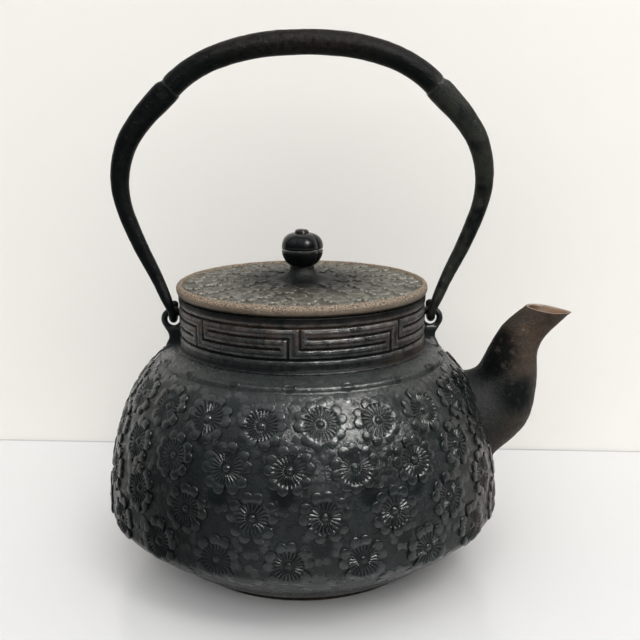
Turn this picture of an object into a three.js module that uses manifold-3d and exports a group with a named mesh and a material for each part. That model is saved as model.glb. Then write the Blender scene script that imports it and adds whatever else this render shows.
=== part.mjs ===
// Cast iron kettle: hollow belly with a key fret neck and two eyelet lugs, a cast-in curved spout,
// a lid with a bud-shaped knob, and a forged bail whose hooks hang in the lugs.
// The one body casting is given as three nodes, parted at its widest ring and at the foot of the neck.
// Millimetres, +Z up. The origin is the centre of the flat base, and +X points along the spout.
import * as THREE from 'three';
import { mergeVertices } from 'three/addons/utils/BufferGeometryUtils.js';
import Module from 'manifold-3d';

const wasm = await Module();
wasm.setup();

// Clearances
const seatGap = 0.3; // between two pieces that rest on or pass through each other
const hookGap = 0.5; // between the bail's hook and the lug ring it hangs on
const spigotGap = 0.5; // between a leg's spigot and the inside of the grip
const flangeGap = 0.8; // between the lid's flange and the neck bore

// Belly
const bellyRadius = 87.5;
const bellyHeight = 28; // height of the widest ring
const wall = 3.2;
const rimRadius = 57; // sharp lower edge where the belly ends
const rimHeight = 3;
const rimSlope = 0.6; // rise of the belly over its run, just above the lower edge
const baseInset = 2.5; // how far the base disc stands back under the rim
const flankPull = 21.9; // straightness of the belly side above its widest ring
const shoulderPull = 27.9; // straightness of the shoulder beside the neck
const shoulderSlope = THREE.MathUtils.degToRad(14.6);
const shoulderHeight = 98.9;
const shoulderLineHeight = 94.2;
const shoulderLineDepth = 0.6;
const shoulderLineHalfWidth = 0.7;

// Neck and its key fret
const neckRadius = 53.2;
const neckHeight = 21.2;
const neckFootDepth = 1.2; // groove at the foot of the neck
const neckFootWidth = 0.8;
const neckChamfer = 0.7;
const fretDepth = 0.8;
const fretLine = 1.1; // width of every fret groove
const fretPitch = 4.2; // from one fret groove up to the next
const fretFoot = 4.5; // lowest fret groove above the shoulder
const fretUnitAngle = 48;
const fretStart = -1.1; // bearing of one unit's first upright, from the front towards the spout
const fretUprightInset = 5.2; // raised bar between two units
const fretBreak = 3; // raised bar where a line stops short of an upright

// Lugs
const lugEye = 2.5; // radius of the hole
const lugBand = 3.2; // thickness of the ring
const lugRise = 9.1; // eye centre above the shoulder
const lugOffset = 0.3; // eye's near edge from the neck
const lugFootReach = 1.8; // foot's outer edge beyond the eye centre
const lugFootDepth = 6.5; // where the foot's outer edge turns upright, below the eye centre

// Spout
const portRadius = 13.3;
const portHeight = 64;
const portTilt = THREE.MathUtils.degToRad(20);
const spigotWall = 2.6;
const spigotReach = 2; // spigot end past the inside of the belly wall
const spoutRootHigh = 82.7; // height of the root's upper edge on the belly
const spoutRootLow = 45;
const spoutReach = 30.5; // pouring tip beyond the belly
const spoutMouth = 20.2; // length of the mouth
const spoutTipDepth = 9.9; // pouring tip below the top of the neck
const mouthTilt = THREE.MathUtils.degToRad(7.7);
const rearFootOut = 5.7; // rear rail's first bend, out from and above the root's upper edge
const rearFootUp = 3.3;
const rearHollowBack = 14.1; // rear rail's hollow, behind and below the heel of the mouth
const rearHollowDown = 15.9;
const rearBellBack = 8.8;
const rearBellDown = 7;
const frontFootOut = 14.6; // front rail's first bend, out from and above the root's lower edge
const frontFootUp = 15;
const frontBellyBack = 13.6; // front rail's belly, behind and below the pouring tip
const frontBellyDown = 31.2;
const frontBellBack = 13.2;
const frontBellDown = 14.2;
const rootRatio = 1.04; // width of the spout over its height, at the root
const mouthRatio = 0.94;
const lipPinch = 0.45; // narrowing of the pouring tip
const spoutWall = 3;
const lipWall = 1.3;

// Lid
const lidOverhang = 0.7;
const lidRimHeight = 4.5;
const lidRimBead = 1.2;
const lidRimWidth = 3.6;
const lidPlateRise = 1.0; // underside of the plate above the rim's lower face
const lidCrown = 1.1; // middle of the lid above its rim
const flangeDepth = 7;
const flangeThickness = 2.2;
const coneFootRadius = 13;
const coneTopRadius = 5.1;
const coneHeight = 6.5; // top of the cone above the rim

// Knob
const knobRadius = 9.1;
const knobLowerHeight = 6.7;
const knobUpperHeight = 8.2;
const knobWall = 1.3;
const lobeCount = 5;
const lobeDepth = 0.7;
const domeSide = 0.55; // upper shell: share of its height where the side bends over
const domeTop = 0.97; // and share of its height where the top flattens
const domeTopRatio = 0.65;
const stemRadius = 1.9;
const stemHeadRadius = 4.2;
const stemHeadHeight = 1.1;
const washerRadius = 5.5;
const washerThickness = 1.0;

// Bail
const bailHeight = 221.5; // centre line of the grip at the top of the arch
const gripWidth = 12.4; // fore and aft
const gripDepth = 9.8;
const gripWall = 1.6;
const seamHalfAngle = THREE.MathUtils.degToRad(10);
const gripFlat = 29.3; // straightness of the arch at its top
const kneeX = 54;
const kneeHeight = 204.1;
const kneeSlope = THREE.MathUtils.degToRad(46);
const kneePullIn = 11.8;
const kneePullOut = 13.1;
const spigotLength = 12;
const bowX = 76.1;
const bowHeight = 165.6;
const bowPullUp = 20.2;
const bowPullDown = 14.6;
const ankleSlope = THREE.MathUtils.degToRad(22.5);
const anklePull = 18.3;
const kneeThickness = 10.2;
const bowThickness = 7.7;
const ankleThickness = 5.2;
const hookThickness = 3.4;
const hookTurn = 225; // degrees of the hook's arc round the lug ring
const hookLead = 16; // height above the hinge where the leg starts to lean to the front

// Facets
const bodySegments = 60;
const lowerBellySteps = 4;
const upperBellySteps = 9;
const spoutSegments = 20;
const spoutSteps = 11;
const lidSegments = 48;
const knobSegments = 30;
const stemSegments = 16;
const gripFacets = 10;

// Worked out from the sizes above
const neckTop = shoulderHeight + neckHeight;
const lugRingRadius = lugEye + lugBand / 2;
const lugX = neckRadius + lugEye + lugOffset;
const lugZ = shoulderHeight + lugRise;
const hingeZ = lugZ + lugRingRadius;
const hookRadius = lugBand / 2 + hookGap + hookThickness / 2;
const lidBottom = neckTop + seatGap;
const lidTop = lidBottom + lidRimHeight;
const lidRadius = neckRadius + lidOverhang;
const lidPlateBottom = lidBottom + lidPlateRise;
const coneTop = lidTop + coneHeight;
const knobBottom = coneTop + seatGap;

const v2 = (x, y) => new THREE.Vector2(x, y);
const v3 = (x, y, z) => new THREE.Vector3(x, y, z);

// Boolean work: a closed geometry becomes a solid, and back
function solid(geometry) {
  const bare = geometry.clone();
  bare.deleteAttribute('normal');
  bare.deleteAttribute('uv');
  const merged = mergeVertices(bare);
  const index = merged.getIndex().array;
  const corners = [];
  for (let i = 0; i < index.length; i += 3) {
    const [a, b, c] = [index[i], index[i + 1], index[i + 2]];
    if (a !== b && b !== c && c !== a) corners.push(a, b, c);
  }
  const vertProperties = new Float32Array(merged.getAttribute('position').array);
  return new wasm.Manifold(new wasm.Mesh({ numProp: 3, vertProperties, triVerts: new Uint32Array(corners) }));
}

function geometryOf(manifold) {
  const mesh = manifold.getMesh();
  const geometry = new THREE.BufferGeometry();
  geometry.setAttribute('position', new THREE.BufferAttribute(new Float32Array(mesh.vertProperties), 3));
  geometry.setIndex(new THREE.BufferAttribute(new Uint32Array(mesh.triVerts), 1));
  return geometry;
}

// A profile of (radius, height) points turned about the vertical axis
function revolve(profile, segments) {
  return new THREE.LatheGeometry(profile, segments).rotateX(Math.PI / 2);
}

const closed = (profile) => [...profile, profile[0]];

// A skin over rings of points, with flat ends
function loft(rings) {
  const count = rings[0].length;
  const points = rings.flat();
  const faces = [];
  for (let i = 0; i + 1 < rings.length; i++) {
    for (let j = 0; j < count; j++) {
      const a = i * count + j;
      const b = i * count + ((j + 1) % count);
      faces.push(a, b, b + count, a, b + count, a + count);
    }
  }
  for (const end of [0, rings.length - 1]) {
    const middle = rings[end].reduce((sum, p) => sum.add(p), v3(0, 0, 0)).divideScalar(count);
    const hub = points.push(middle) - 1;
    for (let j = 0; j < count; j++) {
      const a = end * count + j;
      const b = end * count + ((j + 1) % count);
      faces.push(...(end === 0 ? [hub, b, a] : [hub, a, b]));
    }
  }
  const geometry = new THREE.BufferGeometry().setFromPoints(points);
  geometry.setIndex(faces);
  return geometry;
}

// Belly outline, from the lower edge to the neck, as two curves in (radius, height)
const neckFootRadius = neckRadius - neckFootDepth;
const lowerBelly = new THREE.QuadraticBezierCurve(
  v2(rimRadius, rimHeight),
  v2(bellyRadius, rimHeight + rimSlope * (bellyRadius - rimRadius)),
  v2(bellyRadius, bellyHeight),
);
const upperBelly = new THREE.CubicBezierCurve(
  v2(bellyRadius, bellyHeight),
  v2(bellyRadius, bellyHeight + flankPull),
  v2(neckFootRadius + shoulderPull * Math.cos(shoulderSlope), shoulderHeight - shoulderPull * Math.sin(shoulderSlope)),
  v2(neckFootRadius, shoulderHeight),
);

function shareAtHeight(curve, height) {
  let [low, high] = [0, 1];
  while (high - low > 1e-6) {
    const middle = (low + high) / 2;
    if (curve.getPoint(middle).y < height) low = middle;
    else high = middle;
  }
  return low;
}

const bellyRadiusAt = (height) => upperBelly.getPoint(shareAtHeight(upperBelly, height)).x;

function insetPoint(curve, share, inset) {
  const point = curve.getPoint(share);
  const along = curve.getTangent(share);
  return v2(point.x - inset * along.y, point.y + inset * along.x);
}

function bellyPoints(inset, lowerSteps, upperSteps) {
  const points = [];
  for (let i = 0; i < lowerSteps; i++) points.push(insetPoint(lowerBelly, i / lowerSteps, inset));
  for (let i = 0; i <= upperSteps; i++) points.push(insetPoint(upperBelly, i / upperSteps, inset));
  return points;
}

// The fine line round the shoulder, set into the belly points
function withShoulderLine(points) {
  const middle = shareAtHeight(upperBelly, shoulderLineHeight);
  const half = shoulderLineHalfWidth / upperBelly.getLength();
  const line = [
    insetPoint(upperBelly, middle - half, 0),
    insetPoint(upperBelly, middle, shoulderLineDepth),
    insetPoint(upperBelly, middle + half, 0),
  ];
  const below = points.filter((p) => p.y < line[0].y - half);
  const above = points.filter((p) => p.y > line[2].y + half);
  return [...below, ...line, ...above];
}

function grooveRing(height) {
  return [
    v2(neckRadius, height - fretLine / 2),
    v2(neckRadius - fretDepth, height - fretLine / 2),
    v2(neckRadius - fretDepth, height + fretLine / 2),
    v2(neckRadius, height + fretLine / 2),
  ];
}

const fretLevel = (line) => shoulderHeight + fretFoot + line * fretPitch;

// A groove between two bearings and two heights, as a curved block to cut away
function fretBlock(fromBearing, toBearing, low, high) {
  const start = THREE.MathUtils.degToRad(fromBearing - 90);
  const end = THREE.MathUtils.degToRad(toBearing - 90);
  const outer = neckRadius + fretDepth;
  const sector = new THREE.Shape();
  sector.absarc(0, 0, outer, start, end, false);
  sector.absarc(0, 0, neckRadius - fretDepth, end, start, true);
  const curveSegments = Math.max(1, Math.round((toBearing - fromBearing) / 12));
  const block = new THREE.ExtrudeGeometry(sector, { depth: high - low, bevelEnabled: false, curveSegments });
  return solid(block.translate(0, 0, low));
}

// One unit: a line down and along to the right, and a line along and down to the right, interlocked
function fretUnit(bearing, span) {
  const halfUpright = THREE.MathUtils.radToDeg(fretLine / 2 / neckRadius);
  const last = bearing + span - fretUprightInset;
  const [bottom, lower, upper, top] = [0, 1, 2, 3].map(fretLevel);
  const half = fretLine / 2;
  return [
    fretBlock(bearing - halfUpright, bearing + halfUpright, lower - half, top),
    fretBlock(bearing, last - fretBreak, lower - half, lower + half),
    fretBlock(bearing + fretBreak, last, upper - half, upper + half),
    fretBlock(last - halfUpright, last + halfUpright, bottom, upper + half),
  ];
}

function fretCuts() {
  const cuts = [];
  const whole = Math.floor(360 / fretUnitAngle);
  const spare = 360 - whole * fretUnitAngle;
  for (let i = 0; i < whole; i++) {
    const pastBack = i > whole / 2 ? spare : 0;
    cuts.push(...fretUnit(fretStart + i * fretUnitAngle + pastBack, fretUnitAngle));
  }
  const shortest = 2 * (fretUprightInset + fretBreak);
  const shortUnit = fretStart + (Math.floor(whole / 2) + 1) * fretUnitAngle;
  if (spare > shortest) cuts.push(...fretUnit(shortUnit, spare));
  const lugPads = new THREE.BoxGeometry(3 * neckRadius, 2 * lugBand, neckHeight);
  return wasm.Manifold.union(cuts).subtract(solid(lugPads.translate(0, 0, shoulderHeight + neckHeight / 2)));
}

// A lug: a ring on a foot that grows out of the neck and the shoulder, with its eye fore and aft
function lug() {
  const ring = new THREE.TorusGeometry(lugRingRadius, lugBand / 2, 8, 20).rotateX(Math.PI / 2);
  const inside = neckRadius - wall / 2;
  const sunk = shoulderHeight - wall / 2;
  const foot = new THREE.Shape([
    v2(inside, lugZ),
    v2(inside, sunk - wall / 2),
    v2(lugX + lugFootReach, sunk - wall / 2),
    v2(lugX + lugFootReach, lugZ - lugFootDepth),
    v2(lugX + lugRingRadius, lugZ - lugRingRadius),
    v2(lugX, lugZ - lugRingRadius),
  ]);
  const plate = new THREE.ExtrudeGeometry(foot, { depth: lugBand, bevelEnabled: false });
  plate.translate(0, 0, -lugBand / 2).rotateX(Math.PI / 2);
  const eye = new THREE.CylinderGeometry(lugEye, lugEye, 3 * lugBand, 20).translate(lugX, 0, lugZ);
  return solid(ring.translate(lugX, 0, lugZ)).add(solid(plate)).subtract(solid(eye));
}

// A cylinder through the belly wall along the spout's root, between two distances from the belly surface
function portCylinder(radius, from, to) {
  const cylinder = new THREE.CylinderGeometry(radius, radius, to - from, 32);
  cylinder.translate(0, (from + to) / 2, 0).rotateZ(-Math.PI / 2).rotateY(-portTilt);
  return solid(cylinder.translate(bellyRadiusAt(portHeight), 0, portHeight));
}

function kettleBody() {
  const baseRadius = rimRadius - baseInset;
  const outside = [
    v2(0, 0),
    v2(baseRadius, 0),
    v2(baseRadius, rimHeight - seatGap),
    ...withShoulderLine(bellyPoints(0, lowerBellySteps, upperBellySteps)),
    v2(neckFootRadius, shoulderHeight + neckFootWidth / 2),
    v2(neckRadius, shoulderHeight + neckFootWidth + neckFootDepth / 2),
    ...grooveRing(fretLevel(0)),
    ...grooveRing(fretLevel(3)),
    v2(neckRadius, neckTop - neckChamfer),
    v2(neckRadius - neckChamfer, neckTop),
  ];
  const boreRadius = neckRadius - wall;
  const lining = bellyPoints(wall, 2, 6).filter((p) => p.x > boreRadius).reverse();
  const floor = rimHeight + seatGap;
  const inside = [
    v2(boreRadius, neckTop),
    v2(boreRadius, lining[0].y),
    ...lining,
    v2(rimRadius - wall, floor),
    v2(0, floor),
  ];
  const mirrored = lug().mirror([1, 0, 0]);
  return solid(revolve([...outside, ...inside], bodySegments))
    .subtract(fretCuts())
    .add(lug())
    .add(mirrored)
    .subtract(portCylinder(portRadius, -3 * wall, portRadius));
}

// The part of the body casting between two heights
function bodyBetween(low, high) {
  const slab = new THREE.BoxGeometry(3 * bellyRadius, 3 * bellyRadius, high - low);
  return kettleBody().intersect(solid(slab.translate(0, 0, (low + high) / 2)));
}

// Spout: a loft between a rear rail and a front rail in the plane of the spout
const tip = v2(bellyRadius + spoutReach, neckTop - spoutTipDepth);
const heel = v2(tip.x - spoutMouth * Math.cos(mouthTilt), tip.y + spoutMouth * Math.sin(mouthTilt));
const rootHigh = v2(bellyRadiusAt(spoutRootHigh), spoutRootHigh);
const rootLow = v2(bellyRadiusAt(spoutRootLow), spoutRootLow);

const rearRail = new THREE.SplineCurve([
  rootHigh,
  v2(rootHigh.x + rearFootOut, rootHigh.y + rearFootUp),
  v2(heel.x - rearHollowBack, heel.y - rearHollowDown),
  v2(heel.x - rearBellBack, heel.y - rearBellDown),
  heel,
]);
const frontRail = new THREE.SplineCurve([
  rootLow,
  v2(rootLow.x + frontFootOut, rootLow.y + frontFootUp),
  v2(tip.x - frontBellyBack, tip.y - frontBellyDown),
  v2(tip.x - frontBellBack, tip.y - frontBellDown),
  tip,
]);

function spoutRing(share, inset) {
  const rear = rearRail.getPoint(share);
  const front = frontRail.getPoint(share);
  const centre = rear.clone().add(front).multiplyScalar(0.5);
  const half = rear.clone().sub(front).multiplyScalar(0.5);
  const width = half.length() * THREE.MathUtils.lerp(rootRatio, mouthRatio, share) - inset;
  half.setLength(half.length() - inset);
  const ring = [];
  for (let i = 0; i < spoutSegments; i++) {
    const angle = (2 * Math.PI * i) / spoutSegments;
    const towardsTip = Math.max(0, -Math.cos(angle));
    const pinch = 1 - lipPinch * share ** 4 * towardsTip;
    const inPlane = centre.clone().addScaledVector(half, Math.cos(angle));
    ring.push(v3(inPlane.x, -width * pinch * Math.sin(angle), inPlane.y));
  }
  return ring;
}

function spout() {
  const shares = Array.from({ length: spoutSteps + 1 }, (unused, i) => i / spoutSteps);
  const root = spoutRing(0, 0);
  const inward = v3(-Math.cos(portTilt), 0, -Math.sin(portTilt)).multiplyScalar(2 * wall);
  const buried = root.map((p) => p.clone().add(inward));
  const skin = loft([buried, ...shares.map((share) => spoutRing(share, 0))]);
  const around = bellyPoints(-seatGap, lowerBellySteps, upperBellySteps);
  const bellySpace = revolve([v2(0, rimHeight), ...around, v2(0, shoulderHeight)], bodySegments);
  const spigotRadius = portRadius - seatGap;
  const spigot = portCylinder(spigotRadius, -wall - spigotReach, wall);
  const throat = portCylinder(spigotRadius - spigotWall, -2 * wall - spigotReach, portRadius / 2);
  const wallAt = (share) => THREE.MathUtils.lerp(spoutWall, lipWall, share);
  const hollow = shares.slice(1).map((share) => spoutRing(share, wallAt(share)));
  const outward = v3(Math.sin(mouthTilt), 0, Math.cos(mouthTilt)).multiplyScalar(lipWall);
  const bore = loft([...hollow, hollow.at(-1).map((p) => p.clone().add(outward))]);
  return solid(skin).subtract(solid(bellySpace)).add(spigot).subtract(throat).subtract(solid(bore));
}

// Lid: beaded rim, slightly crowned plate, middle cone for the knob, and a flange that drops into the neck
function lid() {
  const hole = stemRadius + seatGap;
  const flangeOuter = neckRadius - wall - flangeGap;
  const flangeInner = flangeOuter - flangeThickness;
  const cone = new THREE.CubicBezierCurve(
    v2(coneFootRadius, lidTop + lidCrown),
    v2((coneFootRadius + coneTopRadius) / 2, lidTop + lidCrown),
    v2(coneTopRadius, (lidTop + coneTop) / 2),
    v2(coneTopRadius, coneTop),
  );
  const profile = [
    v2(hole, lidPlateBottom),
    v2(flangeInner, lidPlateBottom),
    v2(flangeInner, lidBottom - flangeDepth),
    v2(flangeOuter, lidBottom - flangeDepth),
    v2(flangeOuter, lidBottom),
    v2(lidRadius - lidRimBead / 2, lidBottom),
    v2(lidRadius, lidBottom + lidRimBead),
    v2(lidRadius, lidTop - lidRimBead),
    v2(lidRadius - lidRimBead / 2, lidTop - lidRimBead / 4),
    v2(lidRadius - lidRimBead * 1.5, lidTop),
    v2(lidRadius - lidRimWidth, lidTop - lidRimBead / 2),
    v2((lidRadius + coneFootRadius) / 2, lidTop + lidCrown / 2),
    ...cone.getPoints(4),
    v2(hole, coneTop),
  ];
  return solid(revolve(closed(profile), lidSegments));
}

// Five petal lobes pressed into a turned shell, fading out towards the stem
function lobed(geometry) {
  const position = geometry.getAttribute('position');
  for (let i = 0; i < position.count; i++) {
    const [x, y] = [position.getX(i), position.getY(i)];
    const radius = Math.hypot(x, y);
    const seam = 1 - Math.abs(Math.cos((lobeCount * Math.atan2(x, y)) / 2));
    const fade = THREE.MathUtils.smoothstep(radius, coneTopRadius, knobRadius);
    const scale = radius > 0 ? 1 - (lobeDepth * seam * fade) / radius : 1;
    position.setXY(i, x * scale, y * scale);
  }
  return geometry;
}

const knobSplit = knobBottom + knobLowerHeight;

function knobLowerShell() {
  const hole = stemRadius + seatGap;
  const outside = new THREE.QuadraticBezierCurve(
    v2(coneTopRadius, knobBottom),
    v2(knobRadius, knobBottom + knobLowerHeight / 2),
    v2(knobRadius, knobSplit),
  );
  const inside = new THREE.QuadraticBezierCurve(
    v2(knobRadius - knobWall, knobSplit),
    v2(knobRadius - knobWall, knobBottom + knobLowerHeight / 2 + knobWall),
    v2(coneTopRadius, knobBottom + knobWall),
  );
  const profile = [
    v2(hole, knobBottom),
    ...outside.getPoints(3),
    ...inside.getPoints(3),
    v2(hole, knobBottom + knobWall),
  ];
  return solid(lobed(revolve(closed(profile), knobSegments)));
}

function knobUpperShell() {
  const base = knobSplit + seatGap;
  const dome = (radius, height) => new THREE.CubicBezierCurve(
    v2(radius, base),
    v2(radius, base + height * domeSide),
    v2(radius * domeTopRatio, base + height * domeTop),
    v2(0, base + height),
  ).getPoints(5);
  const outside = dome(knobRadius, knobUpperHeight);
  const inside = dome(knobRadius - knobWall, knobUpperHeight - knobWall).reverse();
  return solid(lobed(revolve([...inside, ...outside], knobSegments)));
}

const washerTop = lidPlateBottom - seatGap;
const washerBottom = washerTop - washerThickness;

function knobStem() {
  const peenTop = washerBottom - seatGap;
  const headBottom = knobBottom + knobWall + seatGap;
  const peenRadius = (stemRadius + washerRadius) / 2;
  return solid(revolve([
    v2(0, peenTop - stemHeadHeight),
    v2(peenRadius - stemHeadHeight / 2, peenTop - stemHeadHeight),
    v2(peenRadius, peenTop),
    v2(stemRadius, peenTop),
    v2(stemRadius, headBottom),
    v2(stemHeadRadius, headBottom),
    v2(stemHeadRadius, headBottom + stemHeadHeight),
    v2(0, headBottom + stemHeadHeight),
  ], stemSegments));
}

function knobWasher() {
  const hole = stemRadius + seatGap;
  return solid(revolve(closed([
    v2(hole, washerBottom),
    v2(washerRadius, washerBottom),
    v2(washerRadius, washerTop),
    v2(hole, washerTop),
  ]), stemSegments));
}

// Bail centre line on the spout side, from the top of the arch to the hinge
const kneeWay = v2(Math.cos(kneeSlope), -Math.sin(kneeSlope));
const knee = v2(kneeX, kneeHeight);
const gripHalf = new THREE.CubicBezierCurve(
  v2(0, bailHeight),
  v2(gripFlat, bailHeight),
  knee.clone().addScaledVector(kneeWay, -kneePullIn),
  knee,
);
const legUpper = new THREE.CubicBezierCurve(
  knee,
  knee.clone().addScaledVector(kneeWay, kneePullOut),
  v2(bowX, bowHeight + bowPullUp),
  v2(bowX, bowHeight),
);
const legLower = new THREE.CubicBezierCurve(
  v2(bowX, bowHeight),
  v2(bowX, bowHeight - bowPullDown),
  v2(lugX + anklePull * Math.sin(ankleSlope), hingeZ + anklePull * Math.cos(ankleSlope)),
  v2(lugX, hingeZ),
);

// Grip: sheet rolled into a hollow tube, with an open seam along its inner side
function handleGrip() {
  const section = (inset) => {
    const points = [];
    for (let i = 0; i <= gripFacets; i++) {
      const angle = seamHalfAngle + ((2 * Math.PI - 2 * seamHalfAngle) * i) / gripFacets;
      points.push(v2((gripWidth / 2 - inset) * Math.sin(angle), (gripDepth / 2 - inset) * Math.cos(angle)));
    }
    return points;
  };
  const profile = new THREE.Shape([...section(0), ...section(gripWall).reverse()]);
  const spoutSide = gripHalf.getPoints(12);
  const rearSide = spoutSide.slice(1).reverse().map((p) => v2(-p.x, p.y));
  const path = new THREE.CatmullRomCurve3([...rearSide, ...spoutSide].map((p) => v3(p.x, 0, p.y)));
  const tube = new THREE.ExtrudeGeometry(profile, { steps: 24, extrudePath: path, bevelEnabled: false });
  return solid(tube);
}

// Rings of an oval section along a path that starts in the plane of the bail.
// sizes(point) gives half the fore-and-aft width and half the depth at a point of the path.
function tubeRings(path, steps, count, sizes) {
  const across = v3(0, 1, 0);
  const rings = [];
  for (let i = 0; i <= steps; i++) {
    const centre = path.getPoint(i / steps);
    const along = path.getTangent(i / steps);
    across.addScaledVector(along, -across.dot(along)).normalize();
    const inward = along.clone().cross(across);
    const [halfWidth, halfDepth] = sizes(centre);
    const ring = [];
    for (let j = 0; j < count; j++) {
      const angle = (2 * Math.PI * j) / count;
      ring.push(centre.clone()
        .addScaledVector(across, halfWidth * Math.cos(angle))
        .addScaledVector(inward, halfDepth * Math.sin(angle)));
    }
    rings.push(ring);
  }
  return rings;
}

// Leg: a forged taper from the knee down to a hook that passes through the lug's eye from the front
function legPath() {
  const points = [];
  const start = seatGap / kneePullOut / 3;
  for (let i = 0; i < 5; i++) points.push(legUpper.getPoint(Math.max(start, i / 5)));
  for (let i = 0; i < 7; i++) points.push(legLower.getPoint(i / 7));
  const line = points.map((p) => {
    const lean = THREE.MathUtils.smoothstep(hingeZ + hookLead - p.y, 0, hookLead);
    return v3(p.x, -hookRadius * lean, p.y);
  });
  for (let turn = 0; turn <= hookTurn; turn += hookTurn / 8) {
    const angle = THREE.MathUtils.degToRad(turn);
    line.push(v3(lugX, -hookRadius * Math.cos(angle), hingeZ - hookRadius * Math.sin(angle)));
  }
  return new THREE.CatmullRomCurve3(line, false, 'centripetal');
}

function legThickness(point) {
  if (point.z > bowHeight) {
    return THREE.MathUtils.mapLinear(point.z, kneeHeight, bowHeight, kneeThickness, bowThickness);
  }
  const ankleHeight = hingeZ + hookLead / 2;
  if (point.z > ankleHeight) {
    return THREE.MathUtils.mapLinear(point.z, bowHeight, ankleHeight, bowThickness, ankleThickness);
  }
  const share = THREE.MathUtils.smoothstep(ankleHeight - point.z, 0, ankleHeight - hingeZ);
  return THREE.MathUtils.lerp(ankleThickness, hookThickness, share);
}

function handleLeg() {
  const path = legPath();
  const leg = loft(tubeRings(path, 2 * path.points.length - 2, 10, (point) => {
    const half = legThickness(point) / 2;
    return [half, half];
  }));
  const first = 1 - spigotLength / gripHalf.getLength();
  const inner = [0, 0.25, 0.5, 0.75, 1].map((share) => gripHalf.getPoint(THREE.MathUtils.lerp(first, 1, share)));
  const onward = knee.clone().addScaledVector(kneeWay, 2 * seatGap);
  const spigotPath = new THREE.CatmullRomCurve3([...inner, onward].map((p) => v3(p.x, 0, p.y)));
  const across = gripWidth / 2 - gripWall - spigotGap;
  const deep = gripDepth / 2 - gripWall - spigotGap;
  const spigot = loft(tubeRings(spigotPath, 6, 12, () => [across, deep]));
  return solid(leg).add(solid(spigot));
}

// Materials
const material = (color, roughness, metalness) => new THREE.MeshStandardMaterial({ color, roughness, metalness });
const bodyIron = material(0x272b2c, 0.62, 0.55);
const spoutIron = material(0x3a2e28, 0.75, 0.4);
const lidIron = material(0x37352f, 0.68, 0.5);
const knobIron = material(0x15191b, 0.35, 0.7);
const bailIron = material(0x1f2426, 0.5, 0.65);

const group = new THREE.Group();

function add(name, manifold, finish) {
  const mesh = new THREE.Mesh(geometryOf(manifold), finish);
  mesh.name = name;
  group.add(mesh);
}

add('kettle_bottom', bodyBetween(-wall, bellyHeight - seatGap / 2), bodyIron);
add('kettle_body', bodyBetween(bellyHeight + seatGap / 2, shoulderHeight), bodyIron);
add('kettle_neck', bodyBetween(shoulderHeight + seatGap, neckTop + wall), bodyIron);
add('spout', spout(), spoutIron);
add('lid', lid(), lidIron);
add('knob_stem', knobStem(), knobIron);
add('knob_washer', knobWasher(), knobIron);
add('knob_lower_shell', knobLowerShell(), knobIron);
add('knob_upper_shell', knobUpperShell(), knobIron);
add('handle_grip', handleGrip(), bailIron);
add('handle_leg_spout_side', handleLeg(), bailIron);
add('handle_leg_rear', handleLeg().mirror([1, 0, 0]), bailIron);

export default group;
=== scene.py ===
import math

import bpy
import numpy as np
from mathutils import Euler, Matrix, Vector


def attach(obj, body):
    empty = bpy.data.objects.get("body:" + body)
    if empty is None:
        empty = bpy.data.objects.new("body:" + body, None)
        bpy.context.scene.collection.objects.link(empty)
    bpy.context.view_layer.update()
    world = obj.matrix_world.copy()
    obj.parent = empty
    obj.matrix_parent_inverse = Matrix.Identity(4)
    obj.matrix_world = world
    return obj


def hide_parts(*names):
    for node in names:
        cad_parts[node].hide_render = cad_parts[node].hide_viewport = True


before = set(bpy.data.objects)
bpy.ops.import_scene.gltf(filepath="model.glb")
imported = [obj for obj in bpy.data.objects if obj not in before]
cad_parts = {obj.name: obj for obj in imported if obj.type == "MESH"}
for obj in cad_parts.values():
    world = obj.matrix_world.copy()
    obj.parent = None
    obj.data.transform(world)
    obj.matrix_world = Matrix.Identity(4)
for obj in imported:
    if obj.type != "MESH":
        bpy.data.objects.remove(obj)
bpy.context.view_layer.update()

MM = 0.001
TAU = 2 * math.pi
rng = np.random.default_rng(11)

# Sizes in millimetres, most of them as in the part's source
BELLY_R = 87.5
BELLY_H = 28.0
WALL = 3.2
RIM_R = 57.0
RIM_H = 3.0
RIM_SLOPE = 0.6
FLANK_PULL = 21.9
SHOULDER_PULL = 27.9
SHOULDER_SLOPE = math.radians(14.6)
SHOULDER_H = 98.9
NECK_R = 53.2
NECK_FOOT_R = 52.0
NECK_TOP = 120.1
BORE_R = 50.0
FRET_DEPTH = 0.8
FRET_LINE = 1.1
FRET_PITCH = 4.2
FRET_FOOT = 4.5
FRET_UNIT = 48.0
FRET_START = -1.1
FRET_INSET = 5.2
FRET_BREAK = 3.0
LUG_X = 56.0
LUG_Z = 108.1
LUG_RING = 4.0
LUG_WIRE = 1.35
HINGE_Z = 112.1
HOOK_R = 3.8
LID_BOTTOM = 120.4
LID_TOP = 124.9
LID_R = 53.9
LID_RIM = 2.5
LID_UNDER = 121.4
LID_CROWN = 1.1  # rise of the lid's ground over its rim
CONE_FOOT_R = 13.0
CONE_R = 5.1
CONE_TOP = 131.4
FLANGE_R = 49.2
FLANGE_INNER_R = 47.0
FLANGE_DROP = 7.0
STEM_HOLE_R = 2.2
KNOB_BOTTOM = 131.7
KNOB_SPLIT = 138.4
KNOB_TOP = 146.9
KNOB_R = 9.1
KNOB_COLUMNS = 160
SPOUT_REACH = 30.5  # from the belly's widest ring out to the tip
TIP_DROP = 9.9  # from the neck's top down to the tip
MOUTH_LENGTH = 20.2
MOUTH_TILT = math.radians(7.7)
ROOT_HIGH = 82.7
ROOT_LOW = 45.0
ROOT_WIDTH = 1.04  # over the spout's depth there
MOUTH_WIDTH = 0.94
ROOT_WALL = 3.0
MOUTH_WALL = 1.3
PORT_TILT = math.radians(20)
PORT_H = 64.0
PORT_R = 13.15
SPIGOT_R = 13.0
THROAT_R = 10.4
BAIL_TOP = 221.5
KNEE = np.array([54.0, 204.1])
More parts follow.
